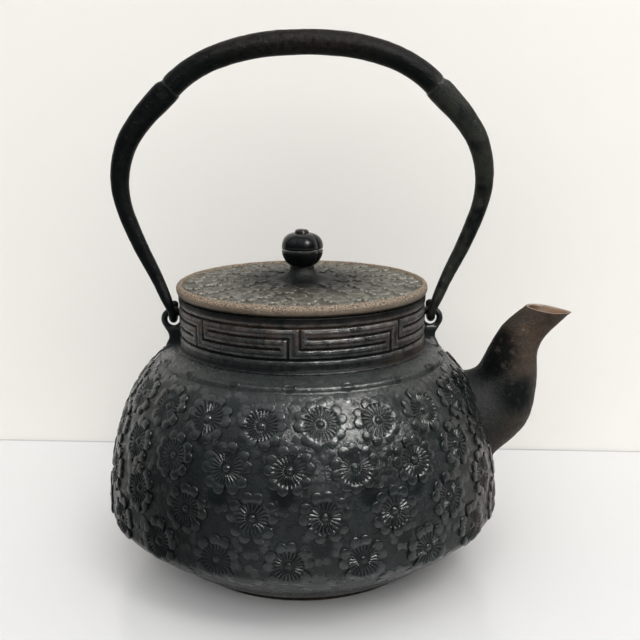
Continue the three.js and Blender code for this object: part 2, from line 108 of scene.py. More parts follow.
KNEE_TURN = math.radians(46)
BOW = np.array([76.1, 165.6])
ANKLE = math.radians(22.5)
BAIL_LEAN = 1.3
BAIL_TILT = 0.010
LEAN_RISE = 110.0  # height over the hinge at which the lean is full
GRIP_HALF = 6.0  # half the width of the grip
GRIP_WALL = 1.6
GRIP_RUN = 73.0  # half the length of the grip along its bend
LEG_SQUARE_H = 125.0  # the legs are squarish above this height
HOOK_THICK = 3.4

# Relief, eyes and the lugs' webs, in millimetres and in degrees from the front
RELIEF = 1.05  # height of the blossoms over the ground of the belly
RELIEF_START_H = 9.0
SHOULDER_LINE_H = 94.2
GROOVE_DEPTH = 0.25
BEAD_RISE = 0.2
SKIN_DEPTH = 0.16  # how far the cast skin lies below the even outline
ROWS = [  # height, first bearing from the front, how many round the belly, radius
    (83.9, 5.3, 20, 10.3),
    (68.3, -3.6, 20, 10.3),
    (51.0, 5.3, 19, 10.4),
    (33.0, -4.0, 19, 10.2),
]
FILLERS = [  # height, first bearing, how many, of the flatter blossoms between the rows
    (91.5, -3.5, 20), (76.5, 5.5, 20), (59.5, -4.0, 19), (41.5, 5.5, 19), (23.0, 5.5, 19),
]
LID_ROWS = [(18.5, 9), (26.5, 14), (34.0, 18), (41.0, 22), (46.8, 26)]  # distance from the middle, how many
PETALS = 5
LOBE_REACH = 0.78  # middle of a petal's lobe from the middle of the blossom, over its radius
LOBE_SIZE = 0.22
LOBE_TURN = math.radians(14.8)
HEART = 0.56  # radius of the round field of stamens, over the blossom's radius
SINK = 0.5  # how far a blossom's edge dips into the ground
LEAST_R = 50.0  # the belly is nowhere narrower than this at a blossom
STAMEN_RINGS = np.array([0.03, 0.06, 0.09, 0.115, 0.135, 0.16, 0.19, 0.22, 0.26, 0.33, 0.40, 0.47, 0.52,
                         0.55])  # shares of the blossom's radius
PLAIN_RINGS = np.array([0.15, 0.35, 0.55])
PETAL_RINGS = np.array([0.12, 0.24, 0.36, 0.50, 0.64, 0.76, 0.86, 0.92, 0.96, 0.985, 1.0])
PETAL_FALL = np.array([1, 1, 1, 1, 1, 1, 1, 0.97, 0.88, 0.55, 0])  # share of the height left at those rings
EYES = 17
EYE_H = 94.9
EYE_START = -4.9
EYE_WIDE = 3.0
EYE_HIGH = 2.0
EYE_RINGS = np.array([  # share of the eye's size, lift, wear, where 0 paints shade inside the eye
    (0.05, 0.06, 0.0), (0.30, 0.06, 0.0), (0.50, 0.08, 0.0), (0.62, 0.16, 0.0), (0.74, 0.32, 0.5),
    (0.86, 0.38, 0.9), (0.95, 0.28, 0.6), (1.0, -0.3, 0.4), (0.9, -0.8, 0.4),
])
LUG_WEB_IN = 51.2
LUG_WEB = [  # height, how far out the web reaches, half its thickness
    (95.0, 60.5, 3.4), (97.0, 59.7, 2.9), (98.2, 59.1, 2.35), (99.0, 58.7, 1.95), (99.8, 58.4, 1.75),
    (100.8, 58.3, 1.65), (101.8, 58.5, 1.6), (103.0, 59.1, 1.6), (104.2, 59.9, 1.5), (105.2, 60.2, 1.1),
]
PLAIN_WEAR = 0.45

# Camera, wall and lamps, in metres
LENS = 53.56  # millimetres
LENS_SHIFT = (-0.011, 0.125)
CAMERA = (0.0, -0.4069, 0.2013)
CAMERA_PITCH = math.radians(17.81)
CAMERA_YAW = math.radians(1.51)
STAGE_WIDE = 4.0
WALL_Y = 0.130  # the wall behind the kettle, on the middle line
WALL_TURN = math.radians(-4.56)
WALL_COLOUR = (0.855, 0.833, 0.79)
WALL_GLOW = 0.03  # light of the wall that only the camera sees
TABLE_COLOUR = (0.80, 0.795, 0.79)
# Painted shadow: the colour, height and offset of a thin grey strip along the foot of the wall.
CORNER_SHADOW_COLOUR = (0.64, 0.64, 0.63)
CORNER_SHADOW_HIGH = 0.0007
CORNER_SHADOW_OUT = 0.0005  # how far the strip of painted shadow stands before the wall
LAMP = (0.60, -0.79, 1.26)
LAMP_AIM = (0.016, -0.07, 0.083)
LAMP_SIZE = (0.5, 0.5)
LAMP_POWER = 4.2
SHEEN_SIZE = (0.47, 0.47)
SHEEN_POWER = 108
WINDOW = (-0.1, -1.5, 1.0)
WINDOW_AIM = (0, 0.1, 0.15)
WINDOW_SIZE = (1.8, 1.0)
WINDOW_POWER = 14.5


# Curves and noise

def bezier(points, shares):
    points = np.asarray(points, float)
    shares = np.asarray(shares, float)[:, None]
    n = len(points) - 1
    out = np.zeros((len(shares), points.shape[1]))
    for i, p in enumerate(points):
        out += math.comb(n, i) * (1 - shares) ** (n - i) * shares ** i * p
    return out


def smooth(low, high, value):
    t = np.clip((value - low) / (high - low), 0, 1)
    return t * t * (3 - 2 * t)


def turns(columns):
    """Evenly spaced angles round a full turn."""
    return np.arange(columns) * TAU / columns


def superellipse(angles, power):
    c, s = np.cos(angles), np.sin(angles)
    return np.sign(c) * np.abs(c) ** power, np.sign(s) * np.abs(s) ** power


def about_axis(radius, bearing, height):
    """Points about the kettle's axis, with bearings from the front towards the spout."""
    parts = np.broadcast_arrays(radius * np.sin(bearing), -radius * np.cos(bearing), height)
    return np.stack(parts, axis=-1)


def upright(line, back=0.0):
    """A line of (sideways, height) points as points in space, a distance behind the middle plane."""
    return np.stack(np.broadcast_arrays(line[:, 0], back, line[:, 1]), axis=1)


def run_along(points):
    """Distance along a polyline to each of its points."""
    return np.concatenate([[0], np.cumsum(np.linalg.norm(np.diff(points, axis=0), axis=1))])


def way_along(points):
    """Unit direction of a polyline at each of its points."""
    way = np.gradient(points, axis=0)
    return way / np.maximum(np.linalg.norm(way, axis=1, keepdims=True), 1e-9)


def outward(rings):
    """Unit directions from the middle of each ring to its points."""
    out = rings - rings.mean(axis=1, keepdims=True)
    return out / np.linalg.norm(out, axis=2, keepdims=True)


def even(points, count):
    """Points along a polyline at even spacing."""
    run = run_along(points)
    at = np.linspace(0, run[-1], count)
    return np.stack([np.interp(at, run, points[:, k]) for k in range(points.shape[1])], axis=1)


HASHES = np.array([73856093, 19349663, 83492791])  # large primes that turn a cell's place into a number


def value_noise(points, size, seed):
    """Smooth noise from -1 to 1 at points in millimetres, with features of about that size."""
    p = points / size
    cell = np.floor(p).astype(np.int64)
    f = p - cell
    f = f * f * (3 - 2 * f)
    total = np.zeros(points.shape[:-1])
    for corner in range(8):
        offset = np.array([corner & 1, corner >> 1 & 1, corner >> 2 & 1])
        mixed = np.bitwise_xor.reduce((cell + offset) * HASHES, axis=-1) ^ (seed * 2654435)
        mixed = (mixed ^ (mixed >> 13)) * 1274126177 & 0x7FFFFFFF
        value = (mixed >> 7 & 0xFFFF) / 32767.5 - 1
        total += np.prod(np.where(offset == 1, f, 1 - f), axis=-1) * value
    return total


def rough(points, seed, fine, coarse):
    """Height of a cast skin: fine grain and slow waves, in millimetres."""
    grain = value_noise(points, 1.3, seed) + 0.6 * value_noise(points, 0.7, seed + 1)
    waves = value_noise(points, 6.0, seed + 2) + 0.6 * value_noise(points, 2.6, seed + 3)
    return fine * grain + coarse * waves


# Meshes

def placed(name, data):
    """A new object, put in the scene."""
    thing = bpy.data.objects.new(name, data)
    bpy.context.scene.collection.objects.link(thing)
    return thing


def facing_out(points, faces):
    """The faces, turned over if they look inwards."""
    volume = 0.0
    for group in faces:
        corners = points[group]
        for k in range(1, group.shape[1] - 1):
            volume += np.einsum("ij,ij->", corners[:, 0], np.cross(corners[:, k], corners[:, k + 1]))
    return [group[:, ::-1] for group in faces] if volume < 0 else faces


def smooth_mesh(name, points, faces):
    mesh = bpy.data.meshes.new(name)
    loops = np.concatenate([group.ravel() for group in faces])
    sizes = np.concatenate([np.full(len(group), group.shape[1]) for group in faces])
    starts = np.concatenate([[0], np.cumsum(sizes)[:-1]])
    mesh.vertices.add(len(points))
    mesh.vertices.foreach_set("co", points.astype(np.float32).ravel())
    mesh.loops.add(len(loops))
    mesh.loops.foreach_set("vertex_index", loops.astype(np.int32))
    mesh.polygons.add(len(sizes))
    mesh.polygons.foreach_set("loop_start", starts.astype(np.int32))
    mesh.update(calc_edges=True)
    mesh.validate()
    mesh.polygons.foreach_set("use_smooth", np.ones(len(mesh.polygons), bool))
    return mesh


def mesh_piece(name, shape, finish, body, replaces=()):
    """A piece from its shape: points in millimetres and groups of faces.

    A fourth value per point is the wear of the iron there, from 0 in hollows, which take painted shade, to 1
    on ridges."""
    points, faces = shape
    wear_and_shade = points[:, 3] if points.shape[1] == 4 else np.full(len(points), PLAIN_WEAR)
    points = points[:, :3] * MM
    mesh = smooth_mesh(name, points, facing_out(points, faces))
    mesh.attributes.new("wear_and_shade", "FLOAT", "POINT").data.foreach_set("value", wear_and_shade.astype(np.float32))
    mesh.materials.append(finish)
    piece = placed(name, mesh)
    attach(piece, body)
    if replaces:
        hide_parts(*replaces)
    return piece


def second_finish(piece, finish, where):
    """Gives the faces that are marked a second finish."""
    piece.data.materials.append(finish)
    piece.data.polygons.foreach_set("material_index", where.astype(np.int32))


def skin(rings, loop=False):
    """Points and faces of a skin over rings, closed with fans at its ends or into a loop."""
    rings = np.asarray(rings, float)
    rows, cols = rings.shape[:2]
    points = rings.reshape(rows * cols, -1)
    i = np.arange(rows if loop else rows - 1)[:, None]
    j = np.arange(cols)
    k = (j + 1) % cols
    up = (i + 1) % rows
    quads = np.stack([i * cols + j, i * cols + k, up * cols + k, up * cols + j], axis=-1).reshape(-1, 4)
    if loop:
        return points, [quads]
    hubs = np.stack([rings[0].mean(axis=0), rings[-1].mean(axis=0)])
    first, last = len(points), len(points) + 1
    low = np.stack([np.full(cols, first), k, j], axis=-1)
    high = np.stack([np.full(cols, last), (rows - 1) * cols + j, (rows - 1) * cols + k], axis=-1)
    return np.concatenate([points, hubs]), [quads, np.concatenate([low, high])]


def with_wear_and_shade(points, wear_and_shade):
    return np.concatenate([points, np.broadcast_to(wear_and_shade, points.shape[:-1])[..., None]], axis=-1)


def joined(parts):
    """Several (points, faces) as one."""
    points, faces, shift = [], [], 0
    for p, groups in parts:
        points.append(p)
        faces += [g + shift for g in groups]
        shift += len(p)
    sizes = sorted({g.shape[1] for g in faces})
    return np.concatenate(points), [np.concatenate([g for g in faces if g.shape[1] == n]) for n in sizes]


def turned(profile, columns, lift=None):
    """Rings of a (radius, height) profile turned about the kettle's axis. lift(rings) moves them outwards."""
    profile = np.asarray(profile, float)
    bearing = turns(columns)
    rings = about_axis(profile[:, :1], bearing, profile[:, 1:])
    if lift is not None:
        way = way_along(profile)
        rings = rings + about_axis(way[:, 1:], bearing, -way[:, :1]) * lift(rings)[..., None]
    return rings


def swept(path, columns, section):
    """Rings of a section along a path.

    section(share, angles, centre) gives offsets towards the front and towards the inside of the bail."""
    angles = turns(columns)
    side = np.array([0.0, -1.0, 0.0])
    rings = []
    for i, (centre, way) in enumerate(zip(path, way_along(path))):
        side = side - side.dot(way) * way
        side /= np.linalg.norm(side)
        inward = np.cross(way, side)
        a, b = section(i / (len(path) - 1), angles, centre)
        rings.append(centre + np.outer(a, side) + np.outer(b, inward))
    return np.array(rings)


# Materials

def nodes_of(name):
    material = bpy.data.materials.new(name)
    material.use_nodes = True
    tree = material.node_tree
    tree.nodes.clear()
    return material, tree


def new_node(tree, kind, *in_order, **named):
    """A new node. Lower-case names are its settings, the others its inputs, with _ for a space.

    An input takes a plain value or the output of another node."""
    node = tree.nodes.new("ShaderNode" + kind)
    for name in filter(str.islower, named):
        setattr(node, name, named[name])
    inputs = list(zip(node.inputs, in_order))
    inputs += [(node.inputs[name.replace("_", " ")], named[name]) for name in named if not name.islower()]
    for socket, value in inputs:
        if isinstance(value, bpy.types.NodeSocket):
            tree.links.new(value, socket)
        elif socket.type == "RGBA":
            socket.default_value = (*value, 1.0)
        else:
            socket.default_value = value
    return node


class Shade:
    """Short calls for a material's nodes, all fed by the object's own coordinates in metres."""

    def __init__(self, name):
        self.material, self.tree = nodes_of(name)
        self.place = self.node("TexCoord").outputs["Object"]
        self.x, _, self.z = self.node("SeparateXYZ", self.place).outputs
        self.edge = self.node("NewGeometry").outputs["Pointiness"]
        self.wear_and_shade = self.node("Attribute", attribute_name="wear_and_shade").outputs["Fac"]

    def node(self, kind, *in_order, **named):
        return new_node(self.tree, kind, *in_order, **named)

    def noise(self, per_mm, detail=4.0, rough=0.55, shift=0.0):
        place = self.place
        if shift:
            moved = self.node("VectorMath", place, (shift, shift * 2, shift * 3), operation="ADD")
            place = moved.outputs[0]
        n = self.node("TexNoise", Vector=place, Scale=per_mm / MM, Detail=detail, Roughness=rough)
        return n.outputs["Fac"]

    def cells(self, per_mm):
        return self.node("TexVoronoi", Vector=self.place, Scale=per_mm / MM).outputs["Distance"]

    def ramp(self, value, low, high, to_low=0.0, to_high=1.0):
        n = self.node("MapRange", interpolation_type="SMOOTHSTEP", Value=value,
                      From_Min=low, From_Max=high, To_Min=to_low, To_Max=to_high)
        return n.outputs["Result"]

    def math(self, kind, *values):
        total = values[0]
        for value in values[1:]:
            total = self.node("Math", total, value, operation=kind).outputs[0]
        return total

    def add(self, *values):
        return self.math("ADD", *values)

    def times(self, *values):
        return self.math("MULTIPLY", *values)

    def most(self, *values):
        return self.math("MAXIMUM", *values)

    def mix(self, share, a, b):
        return self.node("Mix", data_type="RGBA", Factor=share, A=a, B=b).outputs["Result"]

    def rise(self, low, high, to_low=0.0, to_high=1.0):
        """A ramp over the height, in millimetres."""
        return self.ramp(self.z, low * MM, high * MM, to_low, to_high)

    def side(self, low, high, to_low=0.0, to_high=1.0):
        """A ramp towards the spout, in millimetres from the middle."""
        return self.ramp(self.x, low * MM, high * MM, to_low, to_high)

    def near(self, point, far, close, to_low=0.0, to_high=1.0):
        """A ramp over the distance from a point, in millimetres."""
        point = tuple(v * MM for v in point)
        away = self.node("VectorMath", self.place, point, operation="DISTANCE").outputs["Value"]
        return self.ramp(away, far * MM, close * MM, to_low, to_high)

    def finish(self, colour, roughness, height, bump, specular):
        relief = self.node("Bump", Strength=bump, Distance=MM, Height=height)
        shader = self.node("BsdfPrincipled", Base_Color=colour, Roughness=roughness,
                           Specular_IOR_Level=specular, Normal=relief.outputs[0])
        self.node("OutputMaterial", Surface=shader.outputs[0])
        return self.material


BLACK = (0.0020, 0.0031, 0.0034)
TEAL = (0.0062, 0.0108, 0.0115)
WORN = (0.0230, 0.0285, 0.0265)
RUST = (0.1250, 0.0560, 0.0270)
DARK_RUST = (0.0240, 0.0140, 0.0090)


def iron(name, ground=TEAL, dark=BLACK, rust_share=None, rust=RUST, edge=WORN, gloss=0.38, bump=0.7,
         shine=(0.28, 0.62), edge_gain=1.0, grain=1.0, soot_and_shade=None, pale_and_sheen=None, hollows=0.7):
    """Cast iron: blue-black skin, painted shade in the hollows, rubbed ridges, rust in patches, and a fine
    grain.

    Each share function takes the Shade and gives 0 to 1: rust_share, blackening with painted shade, paler
    colour with painted sheen."""
    s = Shade(name)
    clouds = s.noise(0.06, 5, 0.6, shift=0.4)
    patches = s.noise(0.35, 6, 0.62, shift=0.9)
    speckle = s.noise(2.2, 3, 0.6)
    ridge = s.times(s.ramp(s.edge, 0.505, 0.56), s.ramp(speckle, 0.3, 0.6), edge_gain)
    rubbed = s.times(s.ramp(s.wear_and_shade, 0.50, 1.0), s.ramp(patches, 0.3, 0.7, 0.35, 1.0))
    # Painted shade: hollows and creases are darkened towards black and lose gloss.
    hollow_shade = s.most(s.ramp(s.edge, 0.495, 0.44), s.ramp(s.wear_and_shade, 0.35, 0.05))
    rusty = s.times(s.ramp(s.noise(1.1, 4, 0.7, shift=1.7), 0.66, 0.74), 0.35)
    if rust_share is not None:
        rusty = s.most(rust_share(s), rusty)
    soot_and_shade_share = 0.0 if soot_and_shade is None else soot_and_shade(s)

    base = s.mix(s.ramp(clouds, 0.35, 0.65), dark, ground)
    base = s.mix(s.ramp(patches, 0.45, 0.75, 0.0, 0.6), base, dark)
    base = s.mix(s.most(ridge, s.times(rubbed, 0.35)), base, edge)
    # Paler colour; on the shoulder this is a painted sheen.
    if pale_and_sheen is not None:
        base = s.mix(pale_and_sheen(s), base, edge)
    # Painted shade in the hollows.
    base = s.mix(s.times(hollow_shade, hollows), base, BLACK)
    base = s.mix(rusty, base, s.mix(s.ramp(speckle, 0.35, 0.7), DARK_RUST, rust))
    # Blackening and duller gloss, much of it painted shade.
    if soot_and_shade is not None:
        base = s.mix(soot_and_shade_share, base, BLACK)

    ridge = s.most(ridge, rubbed)
    roughness = s.ramp(patches, 0.3, 0.7, gloss - 0.06, gloss + 0.10)
    roughness = s.add(roughness, s.times(rusty, 0.2), s.times(hollow_shade, 0.15))
    roughness = s.math("SUBTRACT", roughness, s.times(ridge, 0.10))
    specular = s.add(s.times(ridge, shine[1] - shine[0]), shine[0])
    specular = s.times(specular, s.add(s.times(hollow_shade, -hollows), 1.0), s.add(s.times(soot_and_shade_share, -0.85), 1.0))
    return s.finish(base, roughness, cast_grain(s, grain, rusty), bump, specular)


def cast_grain(s, grain, rusty):
    """Height of the skin's fine grain, coarser where it is rusty."""
    return s.add(s.times(s.noise(2.8, 4, 0.6), 0.26 * grain), s.times(s.noise(0.9, 3), 0.30 * grain),
                 s.times(s.cells(0.9), 0.12 * grain), s.times(rusty, s.noise(4.0, 3), 0.25))


def belly_rust(s):
    """Rust low on the spout side of the belly, and a brown line along its lower edge."""
    break_up = s.ramp(s.noise(0.16, 6, 0.65, shift=2.2), 0.38, 0.62)
    low_right = s.near((88, -22, 28), 52, 12)
    edge = s.rise(9, 3, 0.0, 0.9)
    return s.times(s.most(s.times(low_right, 0.8), edge), break_up)


def belly_dark_and_shade(s):
    """Darker and duller low on the belly, and painted shade on the side away from the spout and under the
    spout.
    """
    rear = s.near((-62, -48, 22), 72, 22, 0.0, 0.9)
    low = s.rise(30, 8, 0.0, 0.35)
    spout_side = s.side(42, 74, 0.0, 0.5)
    return s.most(rear, low, spout_side)


def shoulder_painted_sheen(s):
    """Painted sheen: the smooth shoulder under the neck is paler, where it faces the light overhead."""
    return s.rise(86, 97, 0.0, 0.75)


def bail_spout_leg_olive(s):
    """The leg by the spout is paler, a dull olive."""
    return s.times(s.side(40, 62, 0.0, 0.8), s.ramp(s.noise(0.12, 4, shift=2.9), 0.35, 0.6))


def neck_rust(s):
    """The upper bars of the fret and the spout side are brown with wear, the rest stays dark."""
    break_up = s.ramp(s.noise(0.22, 6, 0.62, shift=3.1), 0.34, 0.62)
    high = s.rise(105, 113, 0.05, 0.8)
    spout_side = s.side(22, 48, 0.0, 0.8)
    return s.times(s.most(high, spout_side), break_up)


def neck_rim_shadow(s):
    """Painted shadow: the neck is black under the rim of the lid, where the rim's shadow falls."""
    return s.rise(116.5, 119.5, 0.0, 0.9)


def spout_rust(s):
    """Rust brown towards the mouth and in big patches below it."""
    break_up = s.ramp(s.noise(0.25, 6, 0.68, shift=4.3), 0.30, 0.60, 0.2, 1.0)
    high = s.near((98, -10, 98), 21, 8)
    low = s.near((94, -8, 56), 22, 8, 0.0, 0.5)
    front = s.side(97, 103, 0.0, 0.6)
    lip = s.rise(109.5, 111.5, 0.0, 0.7)
    return s.most(s.times(s.most(high, low, front), break_up), lip)


def spout_soot(s):
    """Black down the back of the spout and in a patch on its front."""
    patch = s.near((92, -14, 77), 13, 4, 0.0, 0.9)
    back = s.near((80, -8, 95), 19, 9, 0.0, 0.95)
    return s.times(s.most(patch, back), s.ramp(s.noise(0.3, 5, 0.6, shift=8.1), 0.25, 0.5))


def lid_rust(s):
    """Thin brown over the lid's relief."""
    return s.times(s.ramp(s.noise(0.3, 6, 0.65, shift=5.5), 0.45, 0.7), 0.55)


def cone_painted_shade(s):
    """Painted shade: the cone under the knob is black, where the knob shades it."""
    return s.near((0, 0, 132), 52, 11, 0.0, 0.97)


def rim_tan_and_highlight(s):
    """The top of the rim is a light tan, partly rubbed to tan and partly a painted highlight where light
    falls on it.
    """
    top = s.rise(LID_BOTTOM + 1.8, LID_TOP - 0.7, 0.12, 1.0)
    return s.times(top, s.ramp(s.noise(0.5, 6, 0.7, shift=6.6), 0.25, 0.55, 0.35, 1.0))


def rim_underside_shade(s):
    """Painted shade: the underside of the rim is dark."""
    return s.rise(LID_BOTTOM + 1.5, LID_BOTTOM + 0.5, 0.0, 0.85)


def bail_rust_and_sheen(s):
    """A brown top of the arch, partly rubbed iron and partly a painted sheen, and small spots on the legs."""
    top = s.rise(212, 226, 0.0, 0.7)
    spots = s.ramp(s.noise(0.35, 5, 0.6, shift=9.2), 0.66, 0.72, 0.0, 0.8)
    return s.most(s.times(top, s.ramp(s.noise(0.5, 6, 0.6, shift=7.7), 0.35, 0.65)), spots)


# The belly and its blossoms are darker low down, with painted shade on the rear side and by the spout, and a
# painted sheen on the shoulder.
belly_finish = iron("belly_iron", rust_share=belly_rust, gloss=0.25, bump=0.5, edge_gain=0.3,
                    shine=(0.36, 0.62), soot_and_shade=belly_dark_and_shade, pale_and_sheen=shoulder_painted_sheen)
blossom_finish = iron("blossom_iron", rust_share=belly_rust, gloss=0.18, bump=0.4, grain=0.7, edge_gain=0.4,
                      shine=(0.26, 0.75), soot_and_shade=belly_dark_and_shade, pale_and_sheen=shoulder_painted_sheen, hollows=0.45)
# The neck's finish paints the shadow of the lid's rim onto the neck.
neck_finish = iron("neck_iron", ground=(0.0040, 0.0068, 0.0070), rust_share=neck_rust,
                   rust=(0.032, 0.022, 0.016), edge=(0.014, 0.015, 0.013), gloss=0.28, grain=0.8,
                   shine=(0.05, 0.80), edge_gain=0.3, soot_and_shade=neck_rim_shadow)
lug_finish = iron("lug_iron", ground=BLACK, gloss=0.36, grain=0.7, shine=(0.16, 0.5))
spout_finish = iron("spout_iron", ground=(0.0088, 0.0115, 0.0090), rust_share=spout_rust,
                    rust=(0.100, 0.058, 0.031), edge=(0.040, 0.038, 0.028), gloss=0.46, bump=1.0,
                    grain=1.5, shine=(0.12, 0.5), soot_and_shade=spout_soot)
mouth_finish = iron("mouth_iron", ground=(0.24, 0.13, 0.065), dark=(0.12, 0.06, 0.03),
                    edge=(0.42, 0.34, 0.24), gloss=0.6, grain=0.8)
# The lid's finish paints shade on the cone under the knob.
lid_finish = iron("lid_iron", ground=(0.066, 0.062, 0.038), dark=(0.018, 0.018, 0.011),
                  rust_share=lid_rust, rust=(0.110, 0.084, 0.050), edge=(0.26, 0.24, 0.17), gloss=0.40,
                  grain=1.5, shine=(0.5, 0.8), soot_and_shade=cone_painted_shade)
# The rim's finish paints a highlight on its top and shade on its underside.
rim_finish = iron("lid_rim_iron", ground=(0.120, 0.090, 0.062), dark=(0.060, 0.043, 0.030),
                  rust_share=rim_tan_and_highlight, rust=(0.56, 0.42, 0.28), edge=(0.66, 0.55, 0.42), gloss=0.44,
                  bump=1.0, grain=1.7, soot_and_shade=rim_underside_shade)
knob_finish = iron("knob_iron", ground=(0.0016, 0.0022, 0.0022), edge=(0.01, 0.01, 0.01), gloss=0.15,
                   bump=0.15, grain=0.5, shine=(0.24, 0.6))
# The bail's finish has a painted sheen in the brown on top of the arch.
bail_finish = iron("bail_iron", ground=(0.0011, 0.0020, 0.0021), rust_share=bail_rust_and_sheen,
                   rust=(0.040, 0.034, 0.027), edge=(0.024, 0.026, 0.020), gloss=0.33, grain=1.3,
                   shine=(0.04, 0.6), edge_gain=0.5, pale_and_sheen=bail_spout_leg_olive)


# Belly

foot_edge = np.array([NECK_FOOT_R, SHOULDER_H])
lower_curve = [(RIM_R, RIM_H), (BELLY_R, RIM_H + RIM_SLOPE * (BELLY_R - RIM_R)), (BELLY_R, BELLY_H)]
upper_curve = [
    (BELLY_R, BELLY_H),
    (BELLY_R, BELLY_H + FLANK_PULL),
    tuple(foot_edge + SHOULDER_PULL * np.array([math.cos(SHOULDER_SLOPE), -math.sin(SHOULDER_SLOPE)])),
    tuple(foot_edge),
]
fine_shares = np.linspace(0, 1, 400)
belly_line = np.concatenate([bezier(lower_curve, fine_shares), bezier(upper_curve, fine_shares)[1:]])
belly_line = even(belly_line, 1600)
belly_run = run_along(belly_line)
line_r, line_z = belly_line.T
way_r, way_z = way_along(belly_line).T


def on_belly(run, values):
    """One of the values along the belly's outline, at a run along it."""
    return np.interp(run, belly_run, values)


def run_at_height(height):
    return float(np.interp(height, line_z, belly_run))


def belly_point(bearing, run, lift):
    """Points on the belly at bearings (radians from the front), runs along its outline and lifts off it."""
    r = on_belly(run, line_r) + lift * on_belly(run, way_z)
    z = on_belly(run, line_z) - lift * on_belly(run, way_r)
    return about_axis(r, bearing, z)


shoulder_line = run_at_height(SHOULDER_LINE_H)
relief_start = run_at_height(RELIEF_START_H)


def ground_lift(run):
    """The ground between the blossoms lies below the smooth shoulder and the smooth lower edge."""
    past_line = run - shoulder_line
    sunk = smooth(relief_start - 3, relief_start + 6, run) * smooth(0.6, -0.6, past_line)
    groove = np.exp(-((past_line + 0.3) / 0.7) ** 2)
    bead = np.exp(-((past_line - 1.2) / 0.9) ** 2)
    return -RELIEF * sunk - GROOVE_DEPTH * groove + BEAD_RISE * bead - SKIN_DEPTH


def belly_base():
    """The flat, recessed underside, from the middle outwards."""
    edge = RIM_R - 2.5
    return [(1.0, 0.0), (20.0, 0.0), (40.0, 0.0), (edge - 0.5, 0.0), (edge, 0.4), (edge + 0.1, 2.0),
            (edge + 0.6, 2.6), (RIM_R - 0.7, 2.65), (RIM_R - 0.2, 2.8)]


def belly_inside():
    """The inner wall from the neck's foot down, and the floor back to the middle."""
    runs = np.linspace(belly_run[-1], 0, 30)
    wall = np.stack([on_belly(runs, line_r - WALL * way_z), on_belly(runs, line_z + WALL * way_r)], axis=1)
    wall = wall[wall[:, 0] > BORE_R + 0.2]
    seam = SHOULDER_H + 0.35
    floor = RIM_H + 0.3
    return np.concatenate([[(NECK_FOOT_R - 0.6, seam), (BORE_R, seam), (BORE_R, wall[0, 1])], wall,
                           [(RIM_R - WALL, floor), (40.0, floor), (20.0, floor), (1.0, floor)]])


def belly_shell():
    columns, rows = 410, 190
    run, bearing = np.meshgrid(np.linspace(0, belly_run[-1], rows), turns(columns), indexing="ij")
    lift = ground_lift(run) + rough(belly_point(bearing, run, 0.0), 5, 0.045, 0.11)
    lift *= smooth(0, 1.5, run) * 0.95 + 0.05
    outer = belly_point(bearing, run, lift)
    shape = skin(np.concatenate([turned(belly_base(), columns), outer, turned(belly_inside(), columns)]))
    return mesh_piece("belly", shape, belly_finish, "kettle", ["kettle_bottom", "kettle_body"])


# Blossoms

def from_petal(angle):
    """Turn away from the middle of the nearest petal."""
    half = math.pi / PETALS
    return np.abs((angle + half) % (2 * half) - half)


def petal_outline(angle):
    """Outline of a blossom with five notched petals, over its radius."""
    turn = from_petal(angle) - LOBE_TURN
    across = LOBE_REACH * np.sin(turn)
    room = np.maximum(LOBE_SIZE ** 2 - across ** 2, 0)
    outline = LOBE_REACH * np.cos(turn) + np.sqrt(room)
    return np.where(room > 0, outline, HEART + 0.02)


def rings_to_edge(near, far, outline):
    """Distances from a blossom's middle: round rings first, then rings that grow into its outline."""
    inner = near[:, None] * np.ones(len(outline))
    outer = near[-1] + far[:, None] * (outline - near[-1])
    return np.concatenate([inner, outer])


def dome(distance, size):
    return np.sqrt(np.maximum(1 - (distance / size) ** 2, 0))


def blossom_height(rho, angle, stamens):
    """Relief of one blossom, from 0 at the ground to 1. rho is the share of its radius."""
    turn = from_petal(angle)
    to_lobe = np.hypot(rho * np.cos(turn) - LOBE_REACH * math.cos(LOBE_TURN),
                       rho * np.sin(turn) - LOBE_REACH * math.sin(LOBE_TURN))
    petal = 0.50 + 0.50 * dome(to_lobe, LOBE_SIZE * 1.12)
    if not stamens:
        return petal - 0.25 * smooth(HEART, 0.3, rho)
    floor = 0.22
    h = floor + (petal - floor) * smooth(HEART - 0.03, HEART + 0.13, rho)
    wave = 0.5 + 0.5 * np.cos(stamens * angle)
    long = 0.5 + 0.5 * np.cos(stamens * angle / 2)
    end = HEART + 0.05 + 0.05 * long
    thread = smooth(0.20, 0.26, rho) * smooth(end + 0.02, end - 0.02, rho)
    h = np.maximum(h, 0.70 * thread * smooth(0.30, 0.80, wave))
    bead = smooth(0.060, 0.025, np.abs(rho - end - 0.02)) * smooth(0.35, 0.85, wave)
    h = np.maximum(h, (0.95 * bead) * (long > 0.2))
    return np.maximum(h, 0.30 * (rho < 0.19) + 0.70 * dome(rho, 0.135))


def clear_of(bearing, run, others):
    """1 away from the other blossoms, 0 inside their fields of stamens."""
    share = np.ones(np.broadcast(bearing, run).shape)
    for other_bearing, other_run, radius in others:
        across = ((bearing - other_bearing + math.pi) % TAU - math.pi) * on_belly(run, line_r)
        away = np.hypot(across, run - other_run) / radius
        share = np.minimum(share, smooth(HEART + 0.02, HEART + 0.14, away))
    return share


